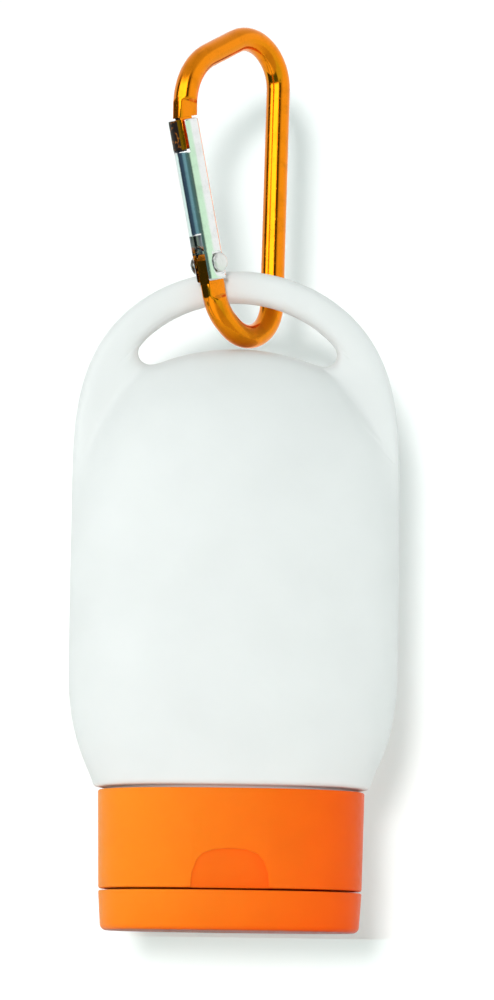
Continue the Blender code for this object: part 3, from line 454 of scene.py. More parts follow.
def shell_of_rings(name, rings, sides, joined, soft_rings, radius):
    """Extrudes a ring up, in and out through a list of rings, and rounds the soft ones.

    Each ring is a half width, a half depth, a height and a squareness. The first ring and
    the last are joined to each other, or each is closed by a face.
    """
    start_fresh()
    bpy.ops.mesh.primitive_circle_add(vertices=sides, radius=1.0)
    made = new_piece(name)
    select_all(made)
    reshape_ring(made, (1.0, 1.0, 0.0, 2.0), rings[0])
    for old, new in zip(rings, rings[1:]):
        extrude((0.0, 0.0, new[2] - old[2]))
        if new[3] != old[3]:
            reshape_ring(made, (old[0], old[1], new[2], old[3]), new)
        elif new[:2] != old[:2]:
            bpy.ops.transform.resize(value=(new[0] / old[0], new[1] / old[1], 1.0),
                                     center_override=(0.0, 0.0, new[2]))
    pick(made, "EDGE", lambda e: len(e.link_faces) == 1)
    if joined:
        bpy.ops.mesh.bridge_edge_loops()
    else:
        bpy.ops.mesh.edge_face_add()
    round_off(made, soft_rings, radius)
    face_outwards()
    return made


def slab(name, outline, front, back):
    """A plate from an outline in X and Z, from one Y to another."""
    start_fresh()
    bpy.ops.mesh.primitive_circle_add(vertices=len(outline), radius=1.0, fill_type="NGON")
    made = new_piece(name)
    for point, (x, z) in zip(made.data.vertices, outline):
        point.co = (x, front, z)
    select_all(made, "FACE")
    extrude((0.0, back - front, 0.0))
    face_outwards()
    return made


def rod(name, radius, low, high, sides, axis="Z"):
    """A round bar along one of the axes."""
    turn = {"X": (0.0, math.pi / 2, 0.0), "Y": (math.pi / 2, 0.0, 0.0), "Z": (0.0, 0.0, 0.0)}[axis]
    place = [(low + high) / 2 if along == axis else 0.0 for along in "XYZ"]
    start_fresh()
    bpy.ops.mesh.primitive_cylinder_add(vertices=sides, radius=radius, depth=high - low,
                                        location=place, rotation=turn)
    return new_piece(name)


def feed(tree, shader, inputs):
    """Gives each of these inputs of a node a value, or joins another node's output to it."""
    for name, value in inputs.items():
        if isinstance(value, bpy.types.NodeSocket):
            tree.links.new(value, shader.inputs[name])
        else:
            shader.inputs[name].default_value = value


def node(tree, kind, inputs=None, **settings):
    """Adds a shader node and gives back its outputs."""
    made = tree.nodes.new("ShaderNode" + kind)
    for name, value in settings.items():
        setattr(made, name, value)
    feed(tree, made, inputs or {})
    return made.outputs


def new_surface(name):
    """An empty material with its shader and its points' own coordinates."""
    surface = bpy.data.materials.new(name)
    surface.use_nodes = True
    tree = surface.node_tree
    return surface, tree, tree.nodes["Principled BSDF"], node(tree, "TexCoord")["Object"]


def noise(tree, where, scale, detail=3.0, roughness=0.5, stretch=None):
    """A noise whose cells are 1/scale metres across."""
    if stretch is not None:
        where = node(tree, "Mapping", {"Vector": where, "Scale": stretch})["Vector"]
    return node(tree, "TexNoise", {"Vector": where, "Scale": scale, "Detail": detail,
                                   "Roughness": roughness})["Fac"]


def spread_to(tree, source, low, high, at_low=0.0, at_high=1.0):
    """Maps a value to a range."""
    return node(tree, "MapRange", {"Value": source, "From Min": at_low, "From Max": at_high,
                                   "To Min": low, "To Max": high})["Result"]


def sum_of(tree, one, other, operation="ADD"):
    """Adds or otherwise joins two values."""
    return node(tree, "Math", {0: one, 1: other}, operation=operation)["Value"]


def relief(tree, total, *heights):
    """The surface's normal when it is raised by heights in metres."""
    for height in heights:
        total = sum_of(tree, total, height)
    return node(tree, "Bump", {"Strength": 1.0, "Distance": 1.0, "Height": total})["Normal"]


def solid(value):
    """A grey level or a colour, with full opacity."""
    return (value, value, value, 1.0) if isinstance(value, float) else (*value, 1.0)


def ramp(tree, source, *stops):
    """Runs through stops, each a place from 0 to 1 and a grey level or a colour."""
    made = tree.nodes.new("ShaderNodeValToRGB")
    elements = made.color_ramp.elements
    for element, (place, value) in zip(elements, (stops[0], stops[-1])):
        element.position = place
        element.color = solid(value)
    for place, value in stops[1:-1]:
        elements.new(place).color = solid(value)
    feed(tree, made, {"Fac": source})
    return made.outputs["Color"]


def shaded(base, amount):
    """A colour made a little darker or lighter."""
    return tuple(min(1.0, c * amount) for c in base)


def shell_plastic(look):
    """Satin blown polyethylene: faint flow in its tone, orange-peel skin and a parting line."""
    surface, tree, shader, where = new_surface("blown_polyethylene")
    base = tuple(look.shell_colour)
    cloud = noise(tree, where, 90.0, 2.0)
    patch = noise(tree, where, 350.0, 4.0)
    beside = sum_of(tree, node(tree, "SeparateXYZ", {"Vector": where})["Y"], 0.0, "ABSOLUTE")
    ridge = spread_to(tree, beside, look.parting_line, 0.0, 0.0, 0.00018)
    peel = spread_to(tree, noise(tree, where, 700.0, 2.0), 0.0, 0.000018)
    waves = spread_to(tree, noise(tree, where, 120.0, 1.0), 0.0, 0.00006)
    feed(tree, shader, {
        "Base Color": ramp(tree, cloud, (0.3, shaded(base, 0.975)), (0.7, shaded(base, 1.01))),
        "Roughness": spread_to(tree, patch, look.roughness - 0.06, look.roughness + 0.07,
                               0.3, 0.7),
        "Subsurface Weight": 0.25,
        "Subsurface Radius": (1.0, 1.0, 0.95),
        "Subsurface Scale": 0.0009,
        "IOR": 1.5,
        "Specular IOR Level": 0.3,
        "Normal": relief(tree, ridge, peel, waves),
    })
    return surface


def cap_plastic(look, name="moulded_polypropylene", depth=1.0):
    """Satin moulded polypropylene: fine grain, faint flow, a warm glow in thin edges, and painted
    shade from a lit left side to a darker right side.
    """
    surface, tree, shader, where = new_surface(name)
    # A depth under 1 makes a darker copy of the plastic: painted shade.
    near, far = [(c[0], c[1] * depth, c[2] * depth)
                 for c in (look.painted_lit_colour, look.painted_shade_colour)]
    # Painted shade: the colour runs from the lit left side to the darker right side across X.
    across = spread_to(tree, node(tree, "SeparateXYZ", {"Vector": where})["X"], 0.0, 1.0,
                       -look.half_width, look.half_width)
    flow = noise(tree, where, 130.0)
    patch = noise(tree, where, 900.0, 4.0)
    grain = spread_to(tree, noise(tree, where, 5200.0, 3.0, 0.6), 0.0, 0.000010)
    sink = spread_to(tree, noise(tree, where, 260.0, 1.0), 0.0, 0.00003)
    feed(tree, shader, {
        "Base Color": node(tree, "Mix", {
            "Factor": 1.0,
            "A": ramp(tree, across, (0.0, near), (1.0, far)),
            "B": ramp(tree, flow, (0.3, 0.94), (0.7, 1.0)),
        }, data_type="RGBA", blend_type="MULTIPLY")["Result"],
        "Roughness": spread_to(tree, patch, look.roughness - 0.06, look.roughness + 0.08,
                               0.3, 0.7),
        "Subsurface Weight": 0.30,
        "Subsurface Radius": (1.0, 0.35, 0.05),
        "Subsurface Scale": 0.0008,
        "IOR": 1.49,
        "Specular IOR Level": 0.14,
        "Normal": relief(tree, grain, sink),
    })
    return surface


def metal(name, base, roughness, drawn, pits, scuff):
    """Bright metal with drawing lines, small pits and dull scuffs."""
    surface, tree, shader, where = new_surface(name)
    worn = noise(tree, where, 420.0, 5.0, 0.6)
    streak = noise(tree, where, 1500.0, 3.0, 0.6, (1.0, 1.0, 0.08))
    lines = noise(tree, where, 2600.0, 2.0, 0.5, (1.0, 1.0, 0.05))
    dents = noise(tree, where, 1900.0, 2.0)
    feed(tree, shader, {
        "Metallic": 1.0,
        "Base Color": ramp(tree, worn, (0.30, shaded(base, 1.0 - scuff)), (0.52, base)),
        "Roughness": spread_to(tree, streak, roughness * 0.7, roughness * 1.6, 0.3, 0.7),
        "Normal": relief(tree, spread_to(tree, lines, 0.0, drawn),
                         spread_to(tree, dents, 0.0, pits, 0.62, 0.75)),
    })
    return surface


def painted_dark_reflection(base):
    """The nose's sheared head: a painted dark reflection, nearly black, with the wire's colour
    left in specks.
    """
    surface, tree, shader, where = new_surface("nose_painted_reflection")
    specks = noise(tree, where, 1300.0, 4.0, 0.6)
    feed(tree, shader, {
        "Metallic": 0.6,
        "Base Color": ramp(tree, specks, (0.55, (0.014, 0.006, 0.003)), (0.64, shaded(base, 0.6))),
        "Roughness": 0.45,
        "Normal": relief(tree, spread_to(tree, specks, 0.0, 0.00003)),
    })
    return surface


class SQUEEZE_OT_bottle_shell(bpy.types.Operator):
    """Smooths the moulded bottle with its handle rim, slot, shoulder and neck"""

    bl_idname = "squeeze.bottle_shell"
    bl_label = "Bottle shell"

    def execute(self, context):
        look = context.scene.bottle_look
        start_fresh()
        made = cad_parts["bottle_body"].copy()
        made.data = made.data.copy()
        made.name = made.data.name = "bottle_shell"
        for key in [k for k in made.keys() if k.startswith("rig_")]:
            del made[key]
        made.parent = None
        made.matrix_world = Matrix.Identity(4)
        bpy.context.scene.collection.objects.link(made)
        made.data.materials.clear()
        take(made)
        bpy.ops.mesh.customdata_custom_splitnormals_clear()
        select_all(made)
        bpy.ops.mesh.remove_doubles(threshold=MERGE_DISTANCE)
        bpy.ops.mesh.tris_convert_to_quads(face_threshold=SOFT, shape_threshold=math.radians(80.0))
        done()
        apply_step(made, "SUBSURF", levels=look.smoothing, render_levels=look.smoothing)
        finish_piece(made, "bottle", ["bottle_body"], [shell_plastic(look)], SOFT)
        return {"FINISHED"}


def cap_oval(look, inset, z):
    """A ring of the cap's own oval."""
    return (look.half_width - inset, look.half_depth - inset, z, CAP_POWER)


def round_ring(radius, z):
    """A round ring."""
    return (radius, radius, z, 2.0)


def recess_block(look, name, grow, foot_z, front, deeper):
    """A block in or behind the recess, whose back leans out towards the top."""
    half = [(RECESS[0][0] + grow, foot_z), *((x + grow, z + grow) for x, z in RECESS[1:])]
    made = slab(name, mirrored(half, (0.0, RECESS_TOP_Z + grow)), front, 0.0)
    foot = -look.half_depth + RECESS_FOOT_DEPTH + deeper
    top = -look.half_depth + RECESS_TOP_DEPTH + deeper
    for point in made.data.vertices:
        if point.co.y > front + MERGE_DISTANCE:
            rise = (point.co.z - foot_z) / (RECESS_TOP_Z + grow - foot_z)
            point.co.y = between(foot, top, rise)
    return made


def hinge_groove(name):
    """A bar along the hinge that clears the film."""
    reach = HINGE_WIDTH / 2 + CAP_DRAFT
    made = rod(name, GROOVE_RADIUS, -reach, reach, BORE_SIDES, "X")
    set_down(made, Matrix.Translation((0.0, HINGE_Y, HINGE_Z)))
    return made


class SQUEEZE_OT_cap_skirt(bpy.types.Operator):
    """Moulds the cap's upper part: oval skirt, deck, neck ring, plug, nozzle and thumb recess"""

    bl_idname = "squeeze.cap_skirt"
    bl_label = "Cap skirt"

    def execute(self, context):
        look = context.scene.cap_look
        plug_inner = PLUG_RADIUS - PLUG_WALL
        foot = cap_oval(look, CAP_DRAFT, BASE_Z)
        top = cap_oval(look, 0.0, CAP_TOP_Z)
        inner_top = cap_oval(look, CAP_WALL, CAP_TOP_Z)
        tip = round_ring(NOZZLE_RADIUS, NOZZLE_TIP_Z)
        tip_bore = round_ring(NOZZLE_BORE_RADIUS, NOZZLE_TIP_Z)
        inside = [
            (RING_OUTER_RADIUS, DECK_Z),
            (RING_OUTER_RADIUS, RING_TOP_Z),
            (RING_INNER_RADIUS, RING_TOP_Z),
            (RING_INNER_RADIUS, RING_BEAD_Z + BEAD_HALF_HEIGHT),
            (RING_BEAD_RADIUS, RING_BEAD_Z),
            (RING_INNER_RADIUS, RING_BEAD_Z - BEAD_HALF_HEIGHT),
            (RING_INNER_RADIUS, DECK_Z),
            (PLUG_RADIUS, DECK_Z),
            (PLUG_RADIUS, PLUG_TOP_Z),
            (plug_inner, PLUG_TOP_Z),
            (plug_inner, DECK_Z),
            (NOZZLE_BORE_RADIUS, DECK_Z),
        ]
        rings = [foot, top, inner_top, cap_oval(look, CAP_WALL + CAP_DRAFT, DECK_Z),
                 *(round_ring(radius, z) for radius, z in inside),
                 tip_bore, tip, round_ring(NOZZLE_RADIUS, BASE_Z)]
        made = shell_of_rings("cap_skirt", rings, look.sides, True,
                              [foot, top, inner_top, tip, tip_bore], look.edge_round)
        face = -look.half_depth
        pad = recess_block(look, "recess_backing", RECESS_BACKING, BASE_Z + look.edge_round,
                           face + CAP_DRAFT + CAP_WALL / 2, RECESS_BACKING)
        combine(made, pad, "UNION")
        cutter = recess_block(look, "recess_cutter", 0.0, BASE_Z - CUT_BEYOND,
                              face - CUT_BEYOND, 0.0)
        combine(made, cutter, "DIFFERENCE")
        combine(made, hinge_groove("skirt_groove"), "DIFFERENCE")
        soften(made, CAP_CUT_ROUND)
        # The recess's own face gets a darker copy of the cap plastic: painted shade in the recess.
        half_wide = RECESS[0][0] + CAP_DRAFT
        least, most = RECESS_FACE_DEPTHS
        for area in made.data.polygons:
            x, y, z = area.center
            if (area.normal.y < -FACING and abs(x) < half_wide and z < RECESS_TOP_Z
                    and least < y - face < most):
                area.material_index = 1
        finish_piece(made, "bottle", ["cap_base"],
                     [cap_plastic(look), cap_plastic(look, "recess_painted_shade", 0.84)])
        return {"FINISHED"}


class SQUEEZE_OT_flip_lid(bpy.types.Operator):
    """Moulds the lid that the bottle stands on, with its collar and its sealing pin"""

    bl_idname = "squeeze.flip_lid"
    bl_label = "Flip lid"

    def execute(self, context):
        look = context.scene.cap_look

        def lid_oval(inset, z):
            return cap_oval(look, inset + CAP_DRAFT + LID_DRAFT * (1.0 - z / SEAM_Z), z)

        rings = []
        for step in range(LID_FOOT_STEPS + 1):
            turn = math.pi / 2 * step / LID_FOOT_STEPS
            rings.append(lid_oval(look.foot_round * (1.0 - math.sin(turn)),
                                  look.foot_round * (1.0 - math.cos(turn))))
        rim = lid_oval(0.0, SEAM_Z)
        inner_rim = lid_oval(CAP_WALL, SEAM_Z)
        collar_outer = COLLAR_INNER_RADIUS + COLLAR_WALL
        collar_top = SEAM_Z - CAP_DRAFT
        collar = round_ring(collar_outer, collar_top)
        inner_collar = round_ring(COLLAR_INNER_RADIUS, collar_top)
        pin = round_ring(PIN_RADIUS, PIN_TOP_Z)
        rings += [
            rim,
            inner_rim,
            lid_oval(CAP_WALL, LID_FLOOR_Z),
            round_ring(collar_outer, LID_FLOOR_Z),
            collar,
            inner_collar,
            round_ring(COLLAR_INNER_RADIUS, LID_FLOOR_Z),
            round_ring(PIN_RADIUS, LID_FLOOR_Z),
            pin,
        ]
        made = shell_of_rings("flip_lid", rings, look.sides, False,
                              [rim, inner_rim, collar, inner_collar, pin],
                              look.edge_round * LID_ROUND_SHARE)
        combine(made, hinge_groove("lid_groove"), "DIFFERENCE")
        finish_piece(made, "lid", ["cap_lid"], [cap_plastic(look)])
        return {"FINISHED"}


class SQUEEZE_OT_living_hinge(bpy.types.Operator):
    """Bows the thin film that the lid hangs on"""

    bl_idname = "squeeze.living_hinge"
    bl_label = "Living hinge"

    def execute(self, context):
        look = context.scene.cap_look
        inner, outer = FILM_RADII
        start_fresh()
        bpy.ops.mesh.primitive_plane_add(size=1.0, location=(0.0, (inner + outer) / 2, 0.0))
        bpy.context.object.scale = (HINGE_WIDTH, outer - inner, 1.0)
        made = new_piece("living_hinge")
        set_down(made, Matrix.Rotation(-FILM_HALF_SWEEP, 4, "X"))
        select_all(made, "FACE")
        bpy.ops.mesh.spin(steps=FILM_STEPS, angle=-2.0 * FILM_HALF_SWEEP, center=(0.0, 0.0, 0.0),
                          axis=(1.0, 0.0, 0.0))
        bpy.ops.mesh.select_all(action="SELECT")
        bpy.ops.mesh.remove_doubles(threshold=MERGE_DISTANCE)
        face_outwards()
        set_down(made, Matrix.Translation((0.0, HINGE_Y, HINGE_Z)))
        finish_piece(made, "bottle", ["hinge_film"], [cap_plastic(look)])
        return {"FINISHED"}


def wire_plane():
    """The carabiner's plane: X towards its spine, Z up, from the middle of the bar."""
    middle = Matrix.Translation((PLANE_X, 0.0, PLANE_Z))
    return middle @ Matrix.Rotation(PLANE_YAW, 4, "Z")


def gate_in_plane():
    """The gate's own axes in the carabiner's plane: Z along it from the rivet."""
    pivot = Matrix.Translation((PIVOT[0], 0.0, PIVOT[1]))
    return pivot @ Matrix.Rotation(-GATE_LEAN, 4, "Y")


def wire_bends():
    """The wire's start, each bend's start, centre, axis, turn and end, and the wire's end."""
    turns = [(Vector((x, 0.0, z)), radius) for (x, z), radius in WIRE_CORNERS]
    bends = []
    for (before, _), (corner, radius), (after, _) in zip(turns, turns[1:], turns[2:]):
        back = (before - corner).normalized()
        ahead = (after - corner).normalized()
        half = back.angle(ahead) / 2
        reach = radius / math.tan(half)
        centre = corner + (back + ahead).normalized() * (radius / math.sin(half))
        start, end = corner + back * reach, corner + ahead * reach
        axis = (start - centre).cross(end - centre).normalized()
        bends.append((start, centre, axis, math.pi - 2.0 * half, end))
    return turns[0][0], bends, turns[-1][0]


def centre_line():
    """Close points along the wire's centre line, each with its direction."""
    first, bends, last = wire_bends()
    knots = [first]
    for start, centre, axis, sweep, _ in bends:
        knots.append(start)
        for i in range(1, LINE_BEND_STEPS + 1):
            turn = Matrix.Rotation(sweep * i / LINE_BEND_STEPS, 3, axis)
            knots.append(centre + turn @ (start - centre))
    knots.append(last)
    line = []
    for a, b in zip(knots, knots[1:]):
        steps = max(1, int((b - a).length / LINE_STEP))
        line += [(a.lerp(b, i / steps), (b - a).normalized()) for i in range(steps)]
    return line


def at_length(line, wanted):
    """The point and direction at a length from the line's start."""
    gone = 0.0
    for (a, d), (b, _) in zip(line, line[1:]):
        gone += (b - a).length
        if gone >= wanted:
            return b, d
    raise RuntimeError("the wire is shorter than that")


def cut_round(made, place, along, radius):
    """Adds an edge ring round the wire at one place."""
    def crossed(face):
        one, other = [face.verts[k].co - place for k in (0, 2)]
        aside = (one - along * one.dot(along)).length
        return one.dot(along) * other.dot(along) <= 0.0 and aside < radius * FACE_REACH_SHARE

    pick(made, "FACE", crossed)
    bpy.ops.mesh.bisect(plane_co=place, plane_no=along)


def press_end(made, line, look, flat, fade):
    """Presses one end of the wire flat and boxy, as between two dies."""
    radius = look.wire_radius
    gone = [0.0]
    for (a, _), (b, _) in zip(line, line[1:]):
        gone.append(gone[-1] + (b - a).length)
    end = [(p, d, s) for (p, d), s in zip(line, gone) if s < flat + 3.0 * fade]
    for point in made.data.vertices:
        level = Vector((point.co.x, 0.0, point.co.z))
        place, along, s = min(end, key=lambda n: (n[0] - level).length)
        if (place - level).length > radius * POINT_REACH_SHARE or s > flat + fade:
            continue
        outward = Vector((along.z, 0.0, -along.x))
        aside = (level - place).dot(outward)
        c = max(-1.0, min(1.0, aside / radius))
        t = max(-1.0, min(1.0, point.co.y / radius))
        size = math.hypot(c, t)
        if size < CORE_SHARE:
            continue
        c, t = c / size, t / size
        pressed = min(1.0, 1.0 - (s - flat) / fade)
        wide = look.flat_width / 2 * signed_power(c, 2.0 / PRESSED_POWER)
        thick = look.flat_thickness / 2 * signed_power(t, 2.0 / PRESSED_POWER)
        moved = level - outward * aside + outward * between(radius * c, wide, pressed)
        point.co = (moved.x, between(radius * t, thick, pressed), moved.z)


def bent_wire(look):
    """Extrudes a round face along the wire's straight runs and spins it round its bends."""
    first, bends, last = wire_bends()
    start_fresh()
    bpy.ops.mesh.primitive_circle_add(vertices=look.wire_sides, radius=look.wire_radius,
                                      fill_type="NGON", location=first)
    made = new_piece("carabiner_wire")
    select_all(made, "FACE")
    here = first
    for start, centre, axis, sweep, end in bends:
        extrude(start - here)
        bpy.ops.mesh.spin(steps=BEND_STEPS, angle=-sweep, center=centre, axis=axis)
        data = bmesh.from_edit_mesh(made.data)
        ends = [f.calc_center_median() for f in data.faces if f.select]
        if len(ends) != 1 or (ends[0] - end).length > look.wire_radius / 10:
            raise RuntimeError("a bend of the wire went the wrong way")
        here = end
    extrude(last - here)
    face_outwards()
    return made


def slant_nose(made):
    """Tilts the nose's end face so that it lies along the gate's tip."""
    (u, z), _ = WIRE_CORNERS[0]
    for point in made.data.vertices:
        if abs(point.co.z - z) < MERGE_DISTANCE and point.co.x < PIVOT[0]:
            point.co.z += math.tan(GATE_LEAN) * (point.co.x - u)


class SQUEEZE_OT_carabiner_wire(bpy.types.Operator):
    """Bends the anodised wire and presses its ends into the nose and the hinge tongue"""

    bl_idname = "squeeze.carabiner_wire"
    bl_label = "Carabiner wire"

    nose_flat: length("Nose flat", "Length of the pressed nose above the gate", 0.0023)
    root_flat: length("Root flat", "Length of the pressed end under the gate", 0.0019)
    crease: length("Crease", "Length over which the pressed ends turn round", 0.0004)

    def execute(self, context):
        look = context.scene.carabiner_look
        made = bent_wire(look)
        line = centre_line()
        back = [(p, -d) for p, d in reversed(line)]
        presses = ((line, self.nose_flat), (back, self.root_flat))
        edit(made, "FACE")
        for path, flat in presses:
            for reach in (flat, flat + self.crease):
                cut_round(made, *at_length(path, reach), look.wire_radius)
        done()
        for path, flat in presses:
            press_end(made, path, look, flat, self.crease)
        slant_nose(made)
        neck = slab("nose_neck", corners(*NECK_X, HEAD_FOOT + RUNNING_GAP, NECK_TOP),
                    -NECK_HALF, NECK_HALF)
        head = rod("nose_head", look.gate_radius, HEAD_FOOT, GATE_TIP, GATE_SIDES)
        sides = slab("head_sides", corners(-CUT_BEYOND, HEAD_INSIDE, 0.0, GATE_TIP * 2.0),
                     -HEAD_HALF, HEAD_HALF)
        combine(head, sides, "INTERSECT")
        tongue = slab("hinge_tongue", mirrored(TONGUE), -TONGUE_HALF, TONGUE_HALF)
        hole = rod("tongue_hole", RIVET_RADIUS + RUNNING_GAP, -TONGUE_CUT, TONGUE_CUT,
                   HOLE_SIDES, "Y")
        gate = gate_in_plane()
        for other in (neck, head, tongue, hole):
            set_down(other, gate)
        for other in (neck, head, tongue):
            combine(made, other, "UNION")
        combine(made, hole, "DIFFERENCE")
        soften(made, METAL_CUT_ROUND)
        # Faces of the sheared head get the painted dark reflection, nearly black with orange
        # specks.
        away = gate.inverted()
        for face in made.data.polygons:
            x, y, z = away @ face.center
            if (DARK_REFLECTION_X[0] < x < DARK_REFLECTION_X[1] and DARK_REFLECTION_Y[0] < y < DARK_REFLECTION_Y[1]
                    and HEAD_FOOT - DARK_REFLECTION_MARGIN < z < GATE_TIP + DARK_REFLECTION_MARGIN):
                face.material_index = 1
        set_down(made, wire_plane())
        base = tuple(look.wire_colour)
        surfaces = [metal("orange_anodised_wire", base, look.roughness, drawn=0.0000012,
                          pits=0.000008, scuff=0.16), painted_dark_reflection(base)]
        finish_piece(made, "carabiner", ["carabiner_frame"], surfaces, even=True)
        return {"FINISHED"}


class SQUEEZE_OT_gate_rod(bpy.types.Operator):
    """Turns the gate's rod, bores it and cuts the slots at its two ends"""

    bl_idname = "squeeze.gate_rod"
    bl_label = "Gate rod"

    def execute(self, context):
        look = context.scene.carabiner_look
        radius = look.gate_radius
        made = rod("gate_rod", radius, GATE_FOOT, GATE_TIP, GATE_SIDES)
        edit(made, "EDGE")
        round_off(made, [round_ring(radius, GATE_FOOT), round_ring(radius, GATE_TIP)],
                  GATE_END_ROUND)
        for z in GATE_RINGS:
            bpy.ops.mesh.select_all(action="SELECT")
            bpy.ops.mesh.bisect(plane_co=(0.0, 0.0, z), plane_no=(0.0, 0.0, 1.0))
        done()
        outer, below, above = radius + CUT_BEYOND, GATE_FOOT - CUT_BEYOND, GATE_TIP + CUT_BEYOND
        cutters = [rod("bore", BORE_RADIUS, below, BORE_END, BORE_SIDES)]
        for name, inside, low, high, half in (
            ("nose_slot", GATE_INSIDE, NOSE_SLOT_FOOT, above, NOSE_SLOT_HALF),
            ("hinge_slot", GATE_INSIDE, below, HINGE_SLOT_TOP, HINGE_SLOT_HALF),
            ("hinge_through", outer, below, HINGE_SLOT_THROUGH_TOP, HINGE_SLOT_HALF),
        ):
            cutters.append(slab(name, corners(-outer, inside, low, high), -half, half))
        hole, seat = RIVET_RADIUS + RUNNING_GAP, RIVET_HEAD_RADIUS + RUNNING_GAP
        depth = radius - RIVET_SEAT_DEPTH
        cutters += [
            rod("rivet_hole", hole, -CUT_BEYOND, CUT_BEYOND, HOLE_SIDES, "Y"),
            rod("far_seat", seat, depth, CUT_BEYOND, BORE_SIDES, "Y"),
            rod("near_seat", seat, -CUT_BEYOND, -depth, BORE_SIDES, "Y"),
        ]
        for cutter in cutters:
            combine(made, cutter, "DIFFERENCE")
        soften(made, METAL_CUT_ROUND)
        set_down(made, wire_plane() @ gate_in_plane())
        surface = metal("polished_gate", tuple(look.gate_colour),
                        look.roughness * GATE_ROUGHNESS_SHARE,
                        drawn=0.0000015, pits=0.000006, scuff=0.10)
        finish_piece(made, "gate", ["carabiner_gate"], [surface], even=True)
        return {"FINISHED"}


class SQUEEZE_OT_peened_rivet(bpy.types.Operator):
    """Peens the rivet that the gate turns on"""

    bl_idname = "squeeze.peened_rivet"
    bl_label = "Peened rivet"

    def execute(self, context):
        made = rod("peened_rivet", RIVET_RADIUS, -RIVET_SEAT, RIVET_SEAT, RIVET_SIDES, "Y")
        edit(made, "FACE")
        grow = RIVET_HEAD_RADIUS / RIVET_RADIUS
        for sign in (1.0, -1.0):
            end = sign * RIVET_SEAT
            pick(made, "FACE", lambda f: f.normal.y * sign > FACING
                 and abs(f.calc_center_median().y - end) < MERGE_DISTANCE)
            extrude((0.0, 0.0, 0.0))
            bpy.ops.transform.resize(value=(grow, 1.0, grow), center_override=(0.0, end, 0.0))
            extrude((0.0, sign * (RIVET_END - RIVET_DOME - RIVET_SEAT), 0.0))
            for shrink, rise in RIVET_DOME_STEPS:
                extrude((0.0, sign * rise * RIVET_DOME, 0.0))
                bpy.ops.transform.resize(value=(shrink, 1.0, shrink),
                                         center_override=(0.0, sign * RIVET_END, 0.0))
            bpy.ops.mesh.poke()
        done()
        apply_step(made, "SUBSURF", levels=1, render_levels=1, subdivision_type="SIMPLE")
        hammered = bpy.data.textures.new("hammered", "CLOUDS")
        hammered.noise_scale = HAMMER_MARK
        apply_step(made, "DISPLACE", texture=hammered, strength=HAMMER_DEPTH,
                   texture_coords="LOCAL")
        set_down(made, wire_plane() @ gate_in_plane())
        surface = metal("peened_steel", RIVET_COLOUR, 0.28, drawn=0.000002, pits=0.00003,
                        scuff=0.5)
        finish_piece(made, "gate", ["gate_rivet"], [surface])
        return {"FINISHED"}


class SQUEEZE_OT_gate_inside(bpy.types.Operator):
    """Gives the spring and its pin inside the gate their drawn steel"""

    bl_idname = "squeeze.gate_inside"
    bl_label = "Spring and pin"

    def execute(self, context):
        surface = metal("drawn_spring_steel", SPRING_COLOUR, 0.28, drawn=0.000001,
                        pits=0.000004, scuff=0.2)
        for name in ("gate_spring", "gate_plunger"):
            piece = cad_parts[name]
            piece.data.materials.clear()
            piece.data.materials.append(surface)
        return {"FINISHED"}


def paper(look, name, lift, passed):
    """Pale matt paper, seen only from its front, that some kinds of ray pass through."""
    surface = bpy.data.materials.new(name)
    surface.use_nodes = True
    tree = surface.node_tree
    tree.nodes.clear()
    rays = node(tree, "LightPath")
    clear = node(tree, "NewGeometry")["Backfacing"]
    for kind in passed:
        clear = sum_of(tree, clear, rays[kind], "MAXIMUM")
    matt = node(tree, "BsdfDiffuse", {"Color": solid(look.backdrop_colour)})["BSDF"]
    level = spread_to(tree, rays["Is Camera Ray"], 0.0, lift)
    glow = node(tree, "Emission", {"Strength": level})["Emission"]
    front = node(tree, "AddShader", {0: matt, 1: glow})["Shader"]
    behind = node(tree, "BsdfTransparent")["BSDF"]
    seen = node(tree, "MixShader", {"Fac": clear, 1: front, 2: behind})["Shader"]
    node(tree, "OutputMaterial", {"Surface": seen})
    return surface


def stage_sheet(name, place, turn, surface):
    """One flat sheet of the stage."""
    start_fresh()
    bpy.ops.mesh.primitive_plane_add(size=SHEET_SIZE, location=place, rotation=turn)
    made = new_piece(name)
    made.data.materials.append(surface)


def studio_world(look):
    """Even light on the bottle, white behind it, and the studio's cards for gloss alone."""
    world = bpy.data.worlds.new("studio")
    bpy.context.scene.world = world
    world.use_nodes = True
    tree = world.node_tree
    tree.nodes.clear()
    way = node(tree, "SeparateXYZ", {"Vector": node(tree, "TexCoord")["Generated"]})
    front = sum_of(tree, way["Y"], -1.0, "MULTIPLY")
    turn = spread_to(tree, sum_of(tree, way["X"], front, "ARCTAN2"), 0.0, 1.0, -math.pi, math.pi)

    def ring_of_cards(stops):
        return ramp(tree, turn, *(((degrees + 180) / 360, value) for degrees, value in stops))

    shown = ring_of_cards(UNDER_CARDS)
    for stops, foot, top in CARD_RISES:
        rise = spread_to(tree, way["Z"], 0.0, 1.0, foot, top)
        shown = node(tree, "Mix", data_type="RGBA",
                     inputs={"Factor": rise, "A": shown, "B": ring_of_cards(stops)})["Result"]
    cards = node(tree, "Background", {"Color": shown})["Background"]
    level = spread_to(tree, way["Z"], 1.0, look.fill, *FILL_RISE)
    even = node(tree, "Background", {"Color": solid(FILL_TINT), "Strength": level})["Background"]
    white = node(tree, "Background", {"Color": solid(1.0)})["Background"]
    rays = node(tree, "LightPath")
    lit = node(tree, "MixShader", {"Fac": rays["Is Glossy Ray"], 1: even, 2: cards})["Shader"]
    seen = node(tree, "MixShader", {"Fac": rays["Is Camera Ray"], 1: lit, 2: white})["Shader"]
    node(tree, "OutputWorld", {"Surface": seen})


def lamp(name, place, height, size, power):
    """A soft round lamp that faces the bottle at a height, and that gloss doesn't show."""
    start_fresh()
    bpy.ops.object.light_add(type="AREA", location=place)
    made = bpy.context.object
    made.name = name
    made.rotation_mode = "QUATERNION"
    aim = Vector((0.0, 0.0, height)) - Vector(place)
    made.rotation_quaternion = aim.to_track_quat("-Z", "Y")
    made.data.shape = "DISK"
    made.data.size = size
    made.data.energy = power
    made.visible_glossy = False


